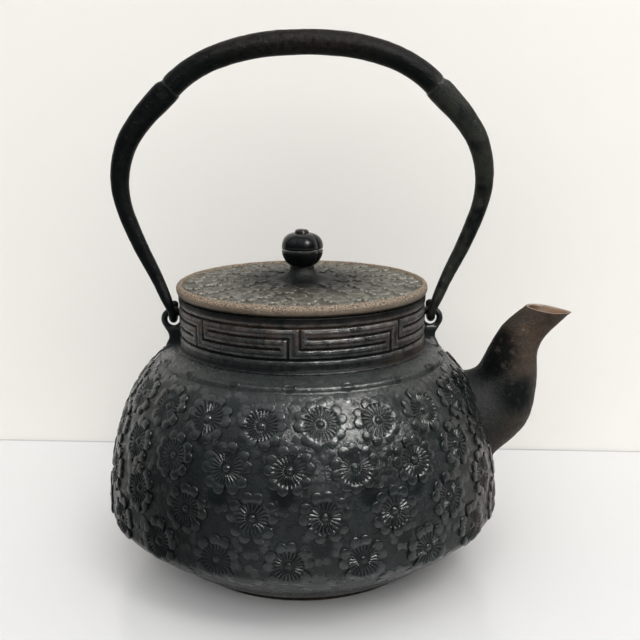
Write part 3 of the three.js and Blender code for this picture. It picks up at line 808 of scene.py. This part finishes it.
def blossom(bearing, run, radius, turn, stamens, height, others=()):
    """One blossom laid on the belly as a closed relief whose edge dips into the ground."""
    columns = stamens * 6 if stamens else 66
    near = STAMEN_RINGS if stamens else PLAIN_RINGS
    angle = turns(columns)
    outline = petal_outline(angle)
    rho = rings_to_edge(near, PETAL_RINGS, outline)
    h = blossom_height(rho, angle[None, :], stamens)
    h[len(near):] *= PETAL_FALL[:, None]
    wear_and_shade = 0.25 + 0.75 * h
    h = h * height
    h[-1] = -SINK
    h = np.concatenate([h, np.full((1, columns), -SINK - 0.25)])
    wear_and_shade = np.concatenate([wear_and_shade, np.full((1, columns), PLAIN_WEAR)])
    rho = np.concatenate([rho, 0.9 * outline[None, :]])
    a = rho * radius * np.cos(angle + turn)
    b = rho * radius * np.sin(angle + turn)
    at = bearing + a / (on_belly(run, line_r) + b * on_belly(run, way_r))
    if others:
        share = clear_of(at, run + b, others)
        h[:-1] = (h[:-1] + 0.3) * share[:-1] - 0.3
        wear_and_shade *= share
    return skin(with_wear_and_shade(belly_point(at, run + b, ground_lift(run + b) + h), wear_and_shade))


def belly_blossoms():
    places = []
    for row, (height, first, count, radius) in enumerate(ROWS, start=1):
        parts = []
        for k in range(count):
            bearing = math.radians(first + 360 / count * k) + rng.normal(0, 0.003)
            run = run_at_height(height) + rng.normal(0, 0.35)
            turn = math.pi / 2 + rng.normal(0, 0.12)
            stamens = int(rng.choice([20, 22, 24]))
            tall = RELIEF * rng.uniform(0.92, 1.0)
            size = radius * rng.uniform(0.97, 1.03)
            parts.append(blossom(bearing, run, size, turn, stamens, tall))
            places.append((bearing, run, size))
        mesh_piece(f"blossoms_row_{row}", joined(parts), blossom_finish, "kettle")
    return places


def filler_blossoms(places):
    """Flatter blossoms that fill the ground between the rows, mostly hidden under them."""
    parts = []
    for height, first, count in FILLERS:
        for k in range(count):
            bearing = math.radians(first + 360 / count * k) + rng.normal(0, 0.03)
            run = run_at_height(height) + rng.normal(0, 1.2)
            radius = rng.uniform(6.5, 9.0)
            run = min(run, shoulder_line - radius - 0.6)
            near = [(other, at, size) for other, at, size in places if abs(at - run) < radius + size
                    and math.cos(other - bearing) > math.cos((radius + size) / LEAST_R)]
            turn = rng.uniform(0, TAU)
            tall = RELIEF * rng.uniform(0.12, 0.34)
            parts.append(blossom(bearing, run, radius, turn, 0, tall, near))
    mesh_piece("blossoms_between", joined(parts), blossom_finish, "kettle")


def shoulder_eyes():
    """Small rimmed eyes on the smooth band, just above the shoulder line."""
    middle = run_at_height(EYE_H)
    angle = turns(48)
    share, lift, wear_and_shade = (column[:, None] for column in EYE_RINGS.T)
    a = share * EYE_WIDE * np.cos(angle)
    b = share * EYE_HIGH * np.sin(angle)
    parts = []
    for k in range(EYES):
        bearing = math.radians(EYE_START + 360 / EYES * k) + a / on_belly(middle, line_r)
        parts.append(skin(with_wear_and_shade(belly_point(bearing, middle + b, ground_lift(middle + b) + lift), wear_and_shade)))
    mesh_piece("shoulder_eyes", joined(parts), blossom_finish, "kettle")


# Neck with its key fret

fret_levels = [SHOULDER_H + FRET_FOOT + k * FRET_PITCH for k in range(4)]


def fret_cut(turn_mm, height):
    """How deep the fret is cut, from 0 to 1, over the neck unrolled to millimetres."""
    half = FRET_LINE / 2
    lowest, lower, upper, highest = fret_levels
    round_trip = TAU * NECK_R
    per_degree = round_trip / 360

    def box(a0, a1, z0, z1):
        middle, reach = (a0 + a1) / 2, (a1 - a0) / 2
        away = np.abs((turn_mm - middle + round_trip / 2) % round_trip - round_trip / 2) - reach
        above = np.abs(height - (z0 + z1) / 2) - (z1 - z0) / 2
        return np.maximum(away, above)

    into = np.minimum(np.abs(height - lowest), np.abs(height - highest)) - half + 0 * turn_mm
    whole = int(360 // FRET_UNIT)
    spare = 360 - whole * FRET_UNIT
    starts = [FRET_START + k * FRET_UNIT + (spare if k > whole / 2 else 0) for k in range(whole)]
    units = [(s, FRET_UNIT) for s in starts] + [(FRET_START + (whole // 2 + 1) * FRET_UNIT, spare)]
    for start, span in units:
        a0 = start * per_degree
        last = (start + span - FRET_INSET) * per_degree
        gap = FRET_BREAK * per_degree
        for piece in [(a0 - half, a0 + half, lower - half, highest),
                      (a0, last - gap, lower - half, lower + half),
                      (a0 + gap, last, upper - half, upper + half),
                      (last - half, last + half, lowest, upper + half)]:
            into = np.minimum(into, box(*piece))
    return 0.66 * smooth(0.28, -0.40, into) + 0.34 * smooth(1.5, -0.1, into)


def neck_heights():
    """Heights of the neck's rings, close together at the edges of the fret's lines."""
    heights = list(np.arange(SHOULDER_H + 0.9, NECK_TOP - 0.5, 0.42))
    for level in fret_levels:
        heights = [h for h in heights if abs(h - level) > 1.0]
        heights += [level + side * (FRET_LINE / 2 + off) for side in (-1, 1)
                    for off in (-0.40, -0.30, -0.20, -0.10, 0.0, 0.10, 0.24, 0.42)]
        heights.append(level)
    return np.array(sorted(heights))


def neck():
    columns = 780
    low = SHOULDER_H - 0.6
    heights = neck_heights()
    foot = [(NECK_FOOT_R - 0.3, low - 0.6), (NECK_R + 1.6, low - 0.4), (NECK_R + 0.9, SHOULDER_H - 0.35),
            (NECK_R + 0.4, SHOULDER_H), (NECK_R + 0.1, SHOULDER_H + 0.35), (NECK_R, SHOULDER_H + 0.75)]
    wall = [(NECK_R, h) for h in heights]
    top = [(NECK_R - 0.05, NECK_TOP - 0.45), (NECK_R - 0.3, NECK_TOP - 0.12), (NECK_R - 0.7, NECK_TOP),
           (BORE_R + 0.4, NECK_TOP), (BORE_R, NECK_TOP - 0.4)]
    inner = [(BORE_R, h) for h in np.linspace(NECK_TOP - 2, low, 12)]
    rings = turned(foot + wall + top + inner, columns)
    rows = slice(len(foot), len(foot) + len(wall))
    part = rings[rows]
    bearing = turns(columns)
    cut = fret_cut(np.repeat((bearing * NECK_R)[None, :], len(heights), axis=0), heights[:, None])
    away = -FRET_DEPTH * cut + rough(part, 23, 0.02, 0.05) - 0.06
    part[..., 0] += away * np.sin(bearing)
    part[..., 1] -= away * np.cos(bearing)
    wear_and_shade = np.full(rings.shape[:2], PLAIN_WEAR)
    wear_and_shade[rows] = 1 - smooth(0.45, 0.95, cut) - 0.35 * smooth(0.12, 0.02, cut)
    shape = skin(with_wear_and_shade(rings, wear_and_shade), loop=True)
    mesh_piece("neck", shape, neck_finish, "kettle", ["kettle_neck"])


def lug_ring():
    """The round eye that a hook of the bail hangs in."""
    tube = turns(28)
    rings = []
    for angle in turns(96):
        out = np.array([math.cos(angle), 0, math.sin(angle)])
        centre = np.array([LUG_X, 0, LUG_Z]) + LUG_RING * out
        rings.append(centre + LUG_WIRE * (np.outer(np.cos(tube), out) + np.outer(np.sin(tube), [0, 1, 0])))
    return skin(rings, loop=True)


def lug_web():
    """The web under the eye, wider where it grows out of the shoulder."""
    columns = 40
    c, s = superellipse(turns(columns), 0.55)
    layers = []
    for height, reach, half in LUG_WEB:
        middle, size = (LUG_WEB_IN + reach) / 2, (reach - LUG_WEB_IN) / 2
        layers.append(np.stack([middle + size * c, half * s, np.full(columns, height)], axis=1))
    return skin(layers)


def lugs():
    for side, name in [(1, "lug_spout_side"), (-1, "lug_rear")]:
        points, faces = joined([lug_ring(), lug_web()])
        points = points + 0.06 * value_noise(points, 1.6, 41)[:, None]
        points[:, 0] *= side
        mesh_piece(name, (points, faces), lug_finish, "kettle")


# Spout

def spline(points, shares):
    """A curve through the points, as in the part's source."""
    points = np.asarray(points, float)
    last = len(points) - 1
    at = np.clip(shares, 0, 1) * last
    i = np.minimum(np.floor(at).astype(int), last - 1)
    t = (at - i)[:, None]
    p0, p1, p2, p3 = (points[np.clip(i + k, 0, last)] for k in (-1, 0, 1, 2))
    v0, v1 = (p2 - p0) / 2, (p3 - p1) / 2
    return (2 * p1 - 2 * p2 + v0 + v1) * t ** 3 + (-3 * p1 + 3 * p2 - 2 * v0 - v1) * t ** 2 + v0 * t + p1


def belly_radius_at(height):
    return float(np.interp(height, line_z, line_r))


tip = np.array([BELLY_R + SPOUT_REACH, NECK_TOP - TIP_DROP])
heel = tip + MOUTH_LENGTH * np.array([-math.cos(MOUTH_TILT), math.sin(MOUTH_TILT)])
root_high = np.array([belly_radius_at(ROOT_HIGH), ROOT_HIGH])
root_low = np.array([belly_radius_at(ROOT_LOW), ROOT_LOW])
rear_rail = [root_high, root_high + (5.7, 3.3), heel - (14.1, 15.9), heel - (8.8, 7.0), heel]
front_rail = [root_low, root_low + (14.6, 15.0), tip - (13.6, 31.2), tip - (13.2, 14.2), tip]


def softened(points):
    """A curve through the points with its tight bends eased and its ends kept."""
    line = spline(points, np.linspace(0, 1, 201))
    reach = 22
    ends = [2 * line[0] - line[reach:0:-1], line, 2 * line[-1] - line[-2:-reach - 2:-1]]
    padded = np.concatenate(ends)
    weight = np.hanning(2 * reach + 1)
    weight /= weight.sum()
    return np.stack([np.convolve(padded[:, k], weight, "valid") for k in range(2)], axis=1)


rear_line = softened(rear_rail)
front_line = softened(front_rail)


def at_share(line, share):
    along = np.linspace(0, 1, len(line))
    return np.array([np.interp(share, along, line[:, k]) for k in range(2)])


def spout_ring(share, inset, columns):
    rear = at_share(rear_line, share)
    front = at_share(front_line, share)
    centre = (rear + front) / 2
    half = (rear - front) / 2
    size = np.linalg.norm(half)
    width = size * (ROOT_WIDTH + (MOUTH_WIDTH - ROOT_WIDTH) * share) - inset
    half = half * (size - inset) / size
    angle = turns(columns)
    pinch = 1 - 0.45 * share ** 4 * np.maximum(0, -np.cos(angle))
    in_plane = centre + np.outer(np.cos(angle), half)
    return np.stack([in_plane[:, 0], -width * pinch * np.sin(angle), in_plane[:, 1]], axis=1)


port_axis = np.array([math.cos(PORT_TILT), 0, math.sin(PORT_TILT)])
port_up = np.array([-math.sin(PORT_TILT), 0, math.cos(PORT_TILT)])


def port_ring(radius, along, columns):
    """A ring about the port's axis, so far out from the belly's surface."""
    centre = np.array([belly_radius_at(PORT_H), 0, PORT_H]) + along * port_axis
    angle = turns(columns)
    return centre + radius * (np.outer(np.cos(angle), port_up) + np.outer(-np.sin(angle), [0, 1, 0]))


def spout_outside(columns):
    """The outer skin from the root to the mouth, fitted to the belly at its root."""
    shares = np.linspace(0, 1, 190)
    rings = np.array([spout_ring(s, 0.05 - 1.3 * math.exp(-s / 0.035), columns) for s in shares])
    sag = BELLY_R - np.sqrt(BELLY_R ** 2 - rings[..., 1] ** 2)
    rings[..., 0] -= (sag + 0.9) * smooth(0.30, 0.0, shares)[:, None] ** 2
    fade = smooth(1.0, 0.97, shares)[:, None, None]
    return rings + outward(rings) * (rough(rings, 61, 0.06, 0.12) - 0.12)[..., None] * fade


def spout():
    columns = 160
    outer = spout_outside(columns)
    lip = [spout_ring(1, inset, columns) + np.array([0, 0, drop])
           for inset, drop in ((0.25, 0.0), (0.65, 0.05), (1.05, 0.0))]
    inner = [spout_ring(s, ROOT_WALL + (MOUTH_WALL - ROOT_WALL) * s, columns)
             for s in np.linspace(0.985, 0.10, 60)]
    throat = [port_ring(THROAT_R, along, columns) for along in (1.5, 0.5, -2.0, -5.2)]
    spigot = [port_ring(SPIGOT_R, along, columns) for along in (-5.2, -3.5, -2.0)]
    buried = [outer[0] - 1.6 * port_axis]
    shape = skin(np.concatenate([outer, lip, inner, throat, spigot, buried]), loop=True)
    piece = mesh_piece("spout_cast", shape, spout_finish, "kettle", ["spout"])
    row = np.arange(len(piece.data.polygons)) // columns
    second_finish(piece, mouth_finish, (row >= len(outer)) & (row < len(outer) + len(lip) + len(inner)))


def open_port(belly):
    """Cuts the port for the spout through the belly."""
    points, faces = skin([port_ring(PORT_R, along, 96) for along in (-12.0, -4.0, 0.0, 3.0)])
    mesh = bpy.data.meshes.new("port_cut")
    mesh.from_pydata((points * MM).tolist(), [], [f.tolist() for group in faces for f in group])
    cutter = placed("port_cut", mesh)
    modifier = belly.modifiers.new("port", "BOOLEAN")
    modifier.operation = "DIFFERENCE"
    modifier.solver = "EXACT"
    modifier.object = cutter
    cut = bpy.data.meshes.new_from_object(belly.evaluated_get(bpy.context.evaluated_depsgraph_get()))
    belly.modifiers.clear()
    belly.data = cut
    bpy.data.objects.remove(cutter)


# Lid and knob

crown_h = LID_TOP + LID_CROWN  # height of the cone's foot
cone_curve = [(CONE_FOOT_R, crown_h), (9.05, crown_h), (CONE_R, CONE_TOP - 3.25), (CONE_R, CONE_TOP)]


def lid_height(radius):
    """Height of the lid's ground at a distance from its middle."""
    crown = crown_h - 1.7 * smooth(CONE_FOOT_R, LID_R - LID_RIM, radius)
    cone = bezier(cone_curve, fine_shares)[::-1]
    return np.where(radius < CONE_FOOT_R, np.interp(radius, cone[:, 0], cone[:, 1]), crown)


def lid_underside():
    """From the stem's hole out to the rim, with the flange that drops into the neck."""
    edge = 0.4
    low = LID_BOTTOM - FLANGE_DROP
    return [(STEM_HOLE_R, CONE_TOP), (STEM_HOLE_R, LID_UNDER), (30.0, LID_UNDER),
            (FLANGE_INNER_R - edge, LID_UNDER), (FLANGE_INNER_R, LID_UNDER - edge),
            (FLANGE_INNER_R, low + edge), (FLANGE_INNER_R + edge, low),
            (FLANGE_R - edge, low), (FLANGE_R, low + edge),
            (FLANGE_R, LID_BOTTOM - 0.3), (FLANGE_R + 0.3, LID_BOTTOM + 0.02)]


def lid_rim():
    """The rounded rim, from its lower edge over its top to its inner edge."""
    quarter = np.linspace(0, math.pi / 2, 12)
    low_rise, low_in, high_in = 2.5, 1.5, 1.9
    high_rise = LID_TOP - LID_BOTTOM - low_rise
    low = [(LID_R - low_in * (1 - math.sin(t)), LID_BOTTOM + low_rise * (1 - math.cos(t))) for t in quarter]
    high = [(LID_R - high_in * (1 - math.cos(t)), LID_BOTTOM + low_rise + high_rise * math.sin(t))
            for t in quarter[1:]]
    inner = [(LID_R - 2.1, LID_TOP - 0.12), (LID_R - 2.3, LID_TOP - 0.5), (LID_R - LID_RIM, LID_TOP - 1.0)]
    return low + high + inner


def lid_lift(rings):
    """The cast skin of the lid's upper side."""
    radius = np.hypot(rings[..., 0], rings[..., 1])
    upper = (rings[..., 2] > LID_BOTTOM + 1) & (radius > CONE_R + 0.1)
    return np.where(upper, rough(rings, 71, 0.035, 0.05) - 0.05, 0.0)


def lid():
    plate_r = np.linspace(LID_R - LID_RIM - 0.2, CONE_FOOT_R + 0.4, 70)
    sunk = 0.5 * smooth(CONE_FOOT_R, CONE_FOOT_R + 4, plate_r)
    plate = np.stack([plate_r, lid_height(plate_r) - sunk], axis=1)
    cone = bezier(cone_curve, np.linspace(0, 1, 30))
    profile = np.concatenate([lid_underside(), lid_rim(), plate, cone])
    shape = skin(turned(profile, 480, lid_lift), loop=True)
    piece = mesh_piece("lid_plate", shape, lid_finish, "lid", ["lid"])
    centres = np.array([p.center for p in piece.data.polygons]) / MM
    radius = np.hypot(centres[:, 0], centres[:, 1])
    second_finish(piece, rim_finish, (radius > LID_R - LID_RIM - 0.1) & (centres[:, 2] > LID_BOTTOM - 0.1))


def flat_blossom(x, y, radius, turn, height):
    """A small blossom on the lid."""
    columns = 60
    near = radius * np.array([0.07, 0.13, 0.2, 0.3, 0.42, 0.55])
    far = np.array([0.3, 0.55, 0.75, 0.88, 0.95, 1.0])
    angle = turns(columns)
    outline = radius * petal_outline(angle)
    rho = rings_to_edge(near, far, outline)
    h = 0.55 + 0.45 * smooth(0.35 * radius, 0.75 * radius, rho) + 0.5 * dome(rho, 0.2 * radius)
    h[-2] *= 0.6
    wear_and_shade = np.concatenate([h, np.zeros((1, columns))])
    h *= height
    h[-1] = -0.5
    rho = np.concatenate([rho, 0.9 * outline[None, :]])
    h = np.concatenate([h, np.full((1, columns), -0.9)])
    px = x + rho * np.cos(angle + turn)
    py = y + rho * np.sin(angle + turn)
    pitted = 0.16 * value_noise(np.stack([px, py, 0 * px], axis=-1), 1.5, 75)
    return skin(np.stack([px, py, lid_height(np.hypot(px, py)) - 0.5 + h + pitted, wear_and_shade], axis=-1))


def lid_blossoms():
    parts = []
    for ring, (distance, count) in enumerate(LID_ROWS):
        for k in range(count):
            bearing = TAU * (k + 0.37 * ring) / count + rng.normal(0, 0.03)
            away = distance + rng.normal(0, 0.5)
            radius = rng.uniform(4.4, 5.4) if distance < 45 else rng.uniform(3.6, 4.2)
            parts.append(flat_blossom(away * math.sin(bearing), -away * math.cos(bearing), radius,
                                      rng.uniform(0, TAU), rng.uniform(0.5, 0.62)))
    mesh_piece("lid_blossoms", joined(parts), lid_finish, "lid")


def lobes(rings, depth):
    """Presses five petal seams into the knob."""
    radius = np.hypot(rings[..., 0], rings[..., 1])
    bearing = np.arctan2(rings[..., 1], rings[..., 0])
    seam = 1 - np.abs(np.cos(PETALS * bearing / 2)) ** 0.7
    fade = smooth(3.5, KNOB_R, radius)
    scale = np.where(radius > 1e-6, 1 - depth * seam * fade / np.maximum(radius, 1e-6), 1)
    rings[..., :2] *= scale[..., None]
    return rings


def knob_lower():
    bottom = bezier([(CONE_R, KNOB_BOTTOM), (6.2, KNOB_BOTTOM + 0.2), (KNOB_R, KNOB_BOTTOM + 2.8),
                     (KNOB_R, KNOB_SPLIT)], np.linspace(0, 1, 26))
    bottom[-1] = (KNOB_R - 0.35, KNOB_SPLIT)
    inside = [(KNOB_R - 1.3, KNOB_SPLIT), (KNOB_R - 1.6, KNOB_SPLIT - 3.0), (5.4, KNOB_BOTTOM + 1.4),
              (STEM_HOLE_R, KNOB_BOTTOM + 1.3), (STEM_HOLE_R, KNOB_BOTTOM)]
    shape = skin(lobes(turned(np.concatenate([bottom, inside]), KNOB_COLUMNS), 0.75), loop=True)
    mesh_piece("knob_lower", shape, knob_finish, "knob", ["knob_lower_shell"])


def knob_upper():
    start = KNOB_SPLIT + 0.45
    inner = [(0.3, KNOB_TOP - 3.2), (4.0, KNOB_TOP - 3.6), (KNOB_R - 2.0, start + 3.0), (KNOB_R - 1.3, start),
             (KNOB_R - 0.35, start)]
    crown = bezier([(KNOB_R, start + 0.3), (KNOB_R + 0.1, start + 4.2), (6.4, KNOB_TOP - 1.9),
                    (3.4, KNOB_TOP - 1.7)], np.linspace(0, 1, 30))
    cap = [(3.1, KNOB_TOP - 1.75), (2.95, KNOB_TOP - 1.2), (2.8, KNOB_TOP - 0.7), (2.3, KNOB_TOP - 0.3),
           (1.4, KNOB_TOP - 0.1), (0.3, KNOB_TOP - 0.02)]
    shape = skin(lobes(turned(np.concatenate([inner, crown, cap]), KNOB_COLUMNS), 0.85))
    mesh_piece("knob_upper", shape, knob_finish, "knob", ["knob_upper_shell"])


def rivet():
    columns = 64
    stem = [(0.2, 118.7), (3.0, 118.75), (3.6, 119.3), (3.65, 119.8), (1.9, 119.8), (1.9, 133.3),
            (4.1, 133.3), (4.2, 133.8), (3.2, 134.35), (0.2, 134.4)]
    mesh_piece("rivet", skin(turned(stem, columns)), knob_finish, "lid", ["knob_stem"])
    ring = [(2.2, 120.1), (5.3, 120.1), (5.5, 120.3), (5.5, 120.9), (5.3, 121.1), (2.2, 121.1)]
    shape = skin(turned(ring, columns), loop=True)
    mesh_piece("rivet_washer", shape, knob_finish, "lid", ["knob_washer"])


# Bail

knee_way = np.array([math.cos(KNEE_TURN), -math.sin(KNEE_TURN)])
ankle_way = np.array([math.sin(ANKLE), math.cos(ANKLE)])
hinge = np.array([LUG_X, HINGE_Z])
grip_curve = [(0.0, BAIL_TOP), (29.3, BAIL_TOP), KNEE - 11.8 * knee_way, KNEE]
leg_high = [KNEE, KNEE + 13.1 * knee_way, BOW + (0, 20.2), BOW]
leg_low = [BOW, BOW - (0, 14.6), hinge + 18.3 * ankle_way, hinge]


def leaned(points):
    """The forged arch leans a little towards the spout."""
    rise = np.clip((points[:, 2] - HINGE_Z) / LEAN_RISE, 0, 1)
    points[:, 2] += BAIL_TILT * points[:, 0] * rise
    points[:, 0] += BAIL_LEAN * rise
    return points


def grip():
    """The grip, rolled from sheet with its seam on the inner side."""
    half = bezier(grip_curve, np.linspace(0, 1, 200))
    path = upright(even(np.concatenate([half[::-1] * (-1, 1), half[1:]]), 300))
    outer_count, inner_count = 84, 36
    seam = math.radians(5.0)
    turn = np.concatenate([np.linspace(seam, TAU - seam, outer_count),
                           np.linspace(TAU - 1.5 * seam, 1.5 * seam, inner_count)])
    is_outer = np.arange(len(turn)) < outer_count
    from_seam = np.minimum(turn, TAU - turn)
    lip = np.exp(-((from_seam - seam) / 0.16) ** 2)
    crease = 0.22 * np.exp(-((from_seam - math.radians(62)) / 0.07) ** 2)
    across, deep = np.sin(turn), np.cos(turn)

    def section(share, angles, centre):
        away = abs(share - 0.5) * 2
        to_knee = (1 - away) * GRIP_RUN
        notch = 0.5 * math.exp(-(to_knee / 1.3) ** 2)
        thick_in = 5.0 + 0.6 * max(0.0, 1 - away / 0.7)
        thick_out = 4.7
        outer_b = (np.where(deep > 0, thick_in - 0.45 * lip, thick_out - notch) - crease) * deep
        inner_b = (np.where(deep > 0, thick_in, thick_out) - GRIP_WALL) * deep
        inset = np.where(is_outer, crease, GRIP_WALL)
        return (GRIP_HALF - inset) * across, np.where(is_outer, outer_b, inner_b)

    rings = swept(path, len(turn), section)
    hammer = rough(rings, 81, 0.03, 0.11) - 0.08
    points, faces = skin(rings + outward(rings) * (hammer * is_outer)[..., None])
    mesh_piece("bail_grip", (leaned(points), faces), bail_finish, "bail", ["handle_grip"])


def leg_size(z):
    """Thickness of a leg at a height above its hook."""
    heights = [HINGE_Z, 118.0, 126.0, 134.0, 150.0, 160.0, 169.0, 179.0, 188.0, 198.0, 204.5]
    return np.interp(z, heights, [HOOK_THICK, 4.7, 5.4, 5.9, 6.6, 7.1, 7.9, 8.7, 9.4, 10.0, 10.2])


def leg_line():
    """The leg from the knee down to the lug, and its hook through the lug's eye."""
    high = bezier(leg_high, np.linspace(0.0, 1, 120))
    low = bezier(leg_low, np.linspace(0, 1, 160))[1:]
    line = even(np.concatenate([high, low]), 230)
    bend = smooth(0, 16, HINGE_Z + 16 - line[:, 1])
    turn = np.radians(np.linspace(5, 225, 60))
    hook = np.stack([LUG_X + 0 * turn, -HOOK_R * np.cos(turn), HINGE_Z - HOOK_R * np.sin(turn)], axis=1)
    return np.concatenate([upright(line, -HOOK_R * bend), hook])


def leg_section(share, angles, centre):
    size = leg_size(centre[2])
    near_knee = math.hypot(centre[0] - KNEE[0], centre[2] - KNEE[1])
    size *= 1 + 0.05 * math.exp(-((near_knee - 5) / 5.0) ** 2)
    end = 1.0 if share < 0.985 else 1 - 0.55 * ((share - 0.985) / 0.015) ** 2
    c, s = superellipse(angles, 0.86 if centre[2] > LEG_SQUARE_H else 1.0)
    notch = 1 - 0.16 * math.exp(-(near_knee / 1.5) ** 2) * (s < 0)
    return size / 2 * end * c, size / 2 * end * notch * s


def leg_spigot():
    """The end of the leg that is set into the grip."""
    inside = bezier(grip_curve, np.linspace(0.82, 1.0, 16))
    path = upright(np.concatenate([inside, [KNEE + 0.6 * knee_way]]))
    return skin(swept(path, 40, lambda share, angles, centre: (4.1 * np.cos(angles), 2.8 * np.sin(angles))))


def leg(side, name, node):
    path = leg_line()
    rings = swept(path, 56, leg_section)
    fade = smooth(114, 122, path[:, 2])[:, None]
    rings = rings + outward(rings) * ((rough(rings, 91, 0.03, 0.10) - 0.06) * fade)[..., None]
    points, faces = joined([skin(rings), leg_spigot()])
    points[:, 0] *= side
    mesh_piece(name, (leaned(points), faces), bail_finish, "bail", [node])


# Build

belly = belly_shell()
open_port(belly)
filler_blossoms(belly_blossoms())
shoulder_eyes()
neck()
lugs()
spout()
lid()
lid_blossoms()
knob_lower()
knob_upper()
rivet()
grip()
leg(1, "bail_leg_spout_side", "handle_leg_spout_side")
leg(-1, "bail_leg_rear", "handle_leg_rear")


# Camera, table, wall and light

def camera():
    data = bpy.data.cameras.new("camera")
    data.sensor_width = 36.0
    data.lens = LENS
    data.shift_x, data.shift_y = LENS_SHIFT
    data.clip_start = 0.01
    data.clip_end = 50
    eye = placed("camera", data)
    eye.location = CAMERA
    eye.rotation_euler = Euler((math.pi / 2 - CAMERA_PITCH, 0.0, -CAMERA_YAW))
    bpy.context.scene.camera = eye


def area_light(name, place, target, size, power, colour, glossy=True, diffuse=True):
    """A rectangular lamp that can be kept out of mirror images or out of the plain light."""
    data = bpy.data.lights.new(name, "AREA")
    data.shape = "RECTANGLE"
    data.size, data.size_y = size
    data.energy = power
    data.color = colour
    lamp = placed(name, data)
    lamp.location = place
    lamp.rotation_mode = "QUATERNION"
    lamp.rotation_quaternion = Vector(np.subtract(target, place)).to_track_quat("-Z", "Y")
    lamp.visible_glossy = glossy
    lamp.visible_diffuse = diffuse


def plane(name, corners, finish):
    mesh = bpy.data.meshes.new(name)
    mesh.from_pydata(corners, [], [tuple(range(len(corners)))])
    mesh.materials.append(finish)
    thing = placed(name, mesh)


def stage_finish(name, colour, roughness, specular, seen_glow=0):
    """A plain finish. seen_glow is light that only the camera sees."""
    material, tree = nodes_of(name)
    glow = {}
    if seen_glow:
        seen = new_node(tree, "LightPath").outputs["Is Camera Ray"]
        strength = new_node(tree, "MapRange", Value=seen, To_Max=seen_glow).outputs["Result"]
        glow = {"Emission_Color": colour, "Emission_Strength": strength}
    shader = new_node(tree, "BsdfPrincipled", Base_Color=colour, Roughness=roughness,
                      Specular_IOR_Level=specular, **glow)
    new_node(tree, "OutputMaterial", Surface=seen_from_front(tree, shader.outputs[0]))
    return material


def seen_from_front(tree, surface):
    """Hide a wall or floor from a camera behind it, and only from the camera."""
    seen = new_node(tree, "LightPath").outputs["Is Camera Ray"]
    behind = new_node(tree, "NewGeometry").outputs["Backfacing"]
    both = new_node(tree, "Math", seen, behind, operation="MULTIPLY").outputs[0]
    clear = new_node(tree, "BsdfTransparent").outputs[0]
    return new_node(tree, "MixShader", both, surface, clear).outputs[0]


def surroundings():
    table = stage_finish("table_gloss", TABLE_COLOUR, roughness=0.11, specular=0.5)
    wall = stage_finish("wall_matt", WALL_COLOUR, roughness=0.9, specular=0.2, seen_glow=WALL_GLOW)
    # A grey finish for the strip of painted shadow.
    corner_shadow = stage_finish("wall_corner_shadow", CORNER_SHADOW_COLOUR, roughness=0.8, specular=0.2)
    wide = STAGE_WIDE
    slant = wide * math.tan(WALL_TURN)
    left, right = (-wide, WALL_Y - slant), (wide, WALL_Y + slant)
    plane("table", [(-wide, -wide, 0), (wide, -wide, 0), (*right, 0), (*left, 0)], table)
    plane("wall", [(*left, 0), (*right, 0), (*right, wide), (*left, wide)], wall)
    # A thin strip of painted shadow where the table meets the wall.
    left, right = (left[0], left[1] - CORNER_SHADOW_OUT), (right[0], right[1] - CORNER_SHADOW_OUT)
    plane("corner_shadow", [(*left, 0), (*right, 0), (*right, CORNER_SHADOW_HIGH), (*left, CORNER_SHADOW_HIGH)], corner_shadow)
    room_light()
    area_light("lamp", LAMP, LAMP_AIM, LAMP_SIZE, LAMP_POWER, (1, 0.98, 0.95), glossy=False)
    area_light("window", WINDOW, WINDOW_AIM, WINDOW_SIZE, WINDOW_POWER, (1, 0.99, 0.98), glossy=False)
    area_light("lamp_sheen", LAMP, LAMP_AIM, SHEEN_SIZE, SHEEN_POWER, (1, 0.99, 0.95), diffuse=False)


def room_light():
    """A room that is bright overhead and dim at eye level."""
    world = bpy.data.worlds.new("world")
    bpy.context.scene.world = world
    world.use_nodes = True
    tree = world.node_tree
    split = new_node(tree, "SeparateXYZ", new_node(tree, "TexCoord").outputs["Generated"])
    rise = new_node(tree, "MapRange", interpolation_type="SMOOTHSTEP", Value=split.outputs["Z"],
                    From_Min=0.15, From_Max=1.0, To_Min=0.12, To_Max=1.3)
    back = tree.nodes["Background"]
    back.inputs["Color"].default_value = (0.95, 0.97, 1.0, 1)
    tree.links.new(rise.outputs["Result"], back.inputs["Strength"])


camera()
surroundings()
bpy.context.scene.view_settings.view_transform = "Standard"
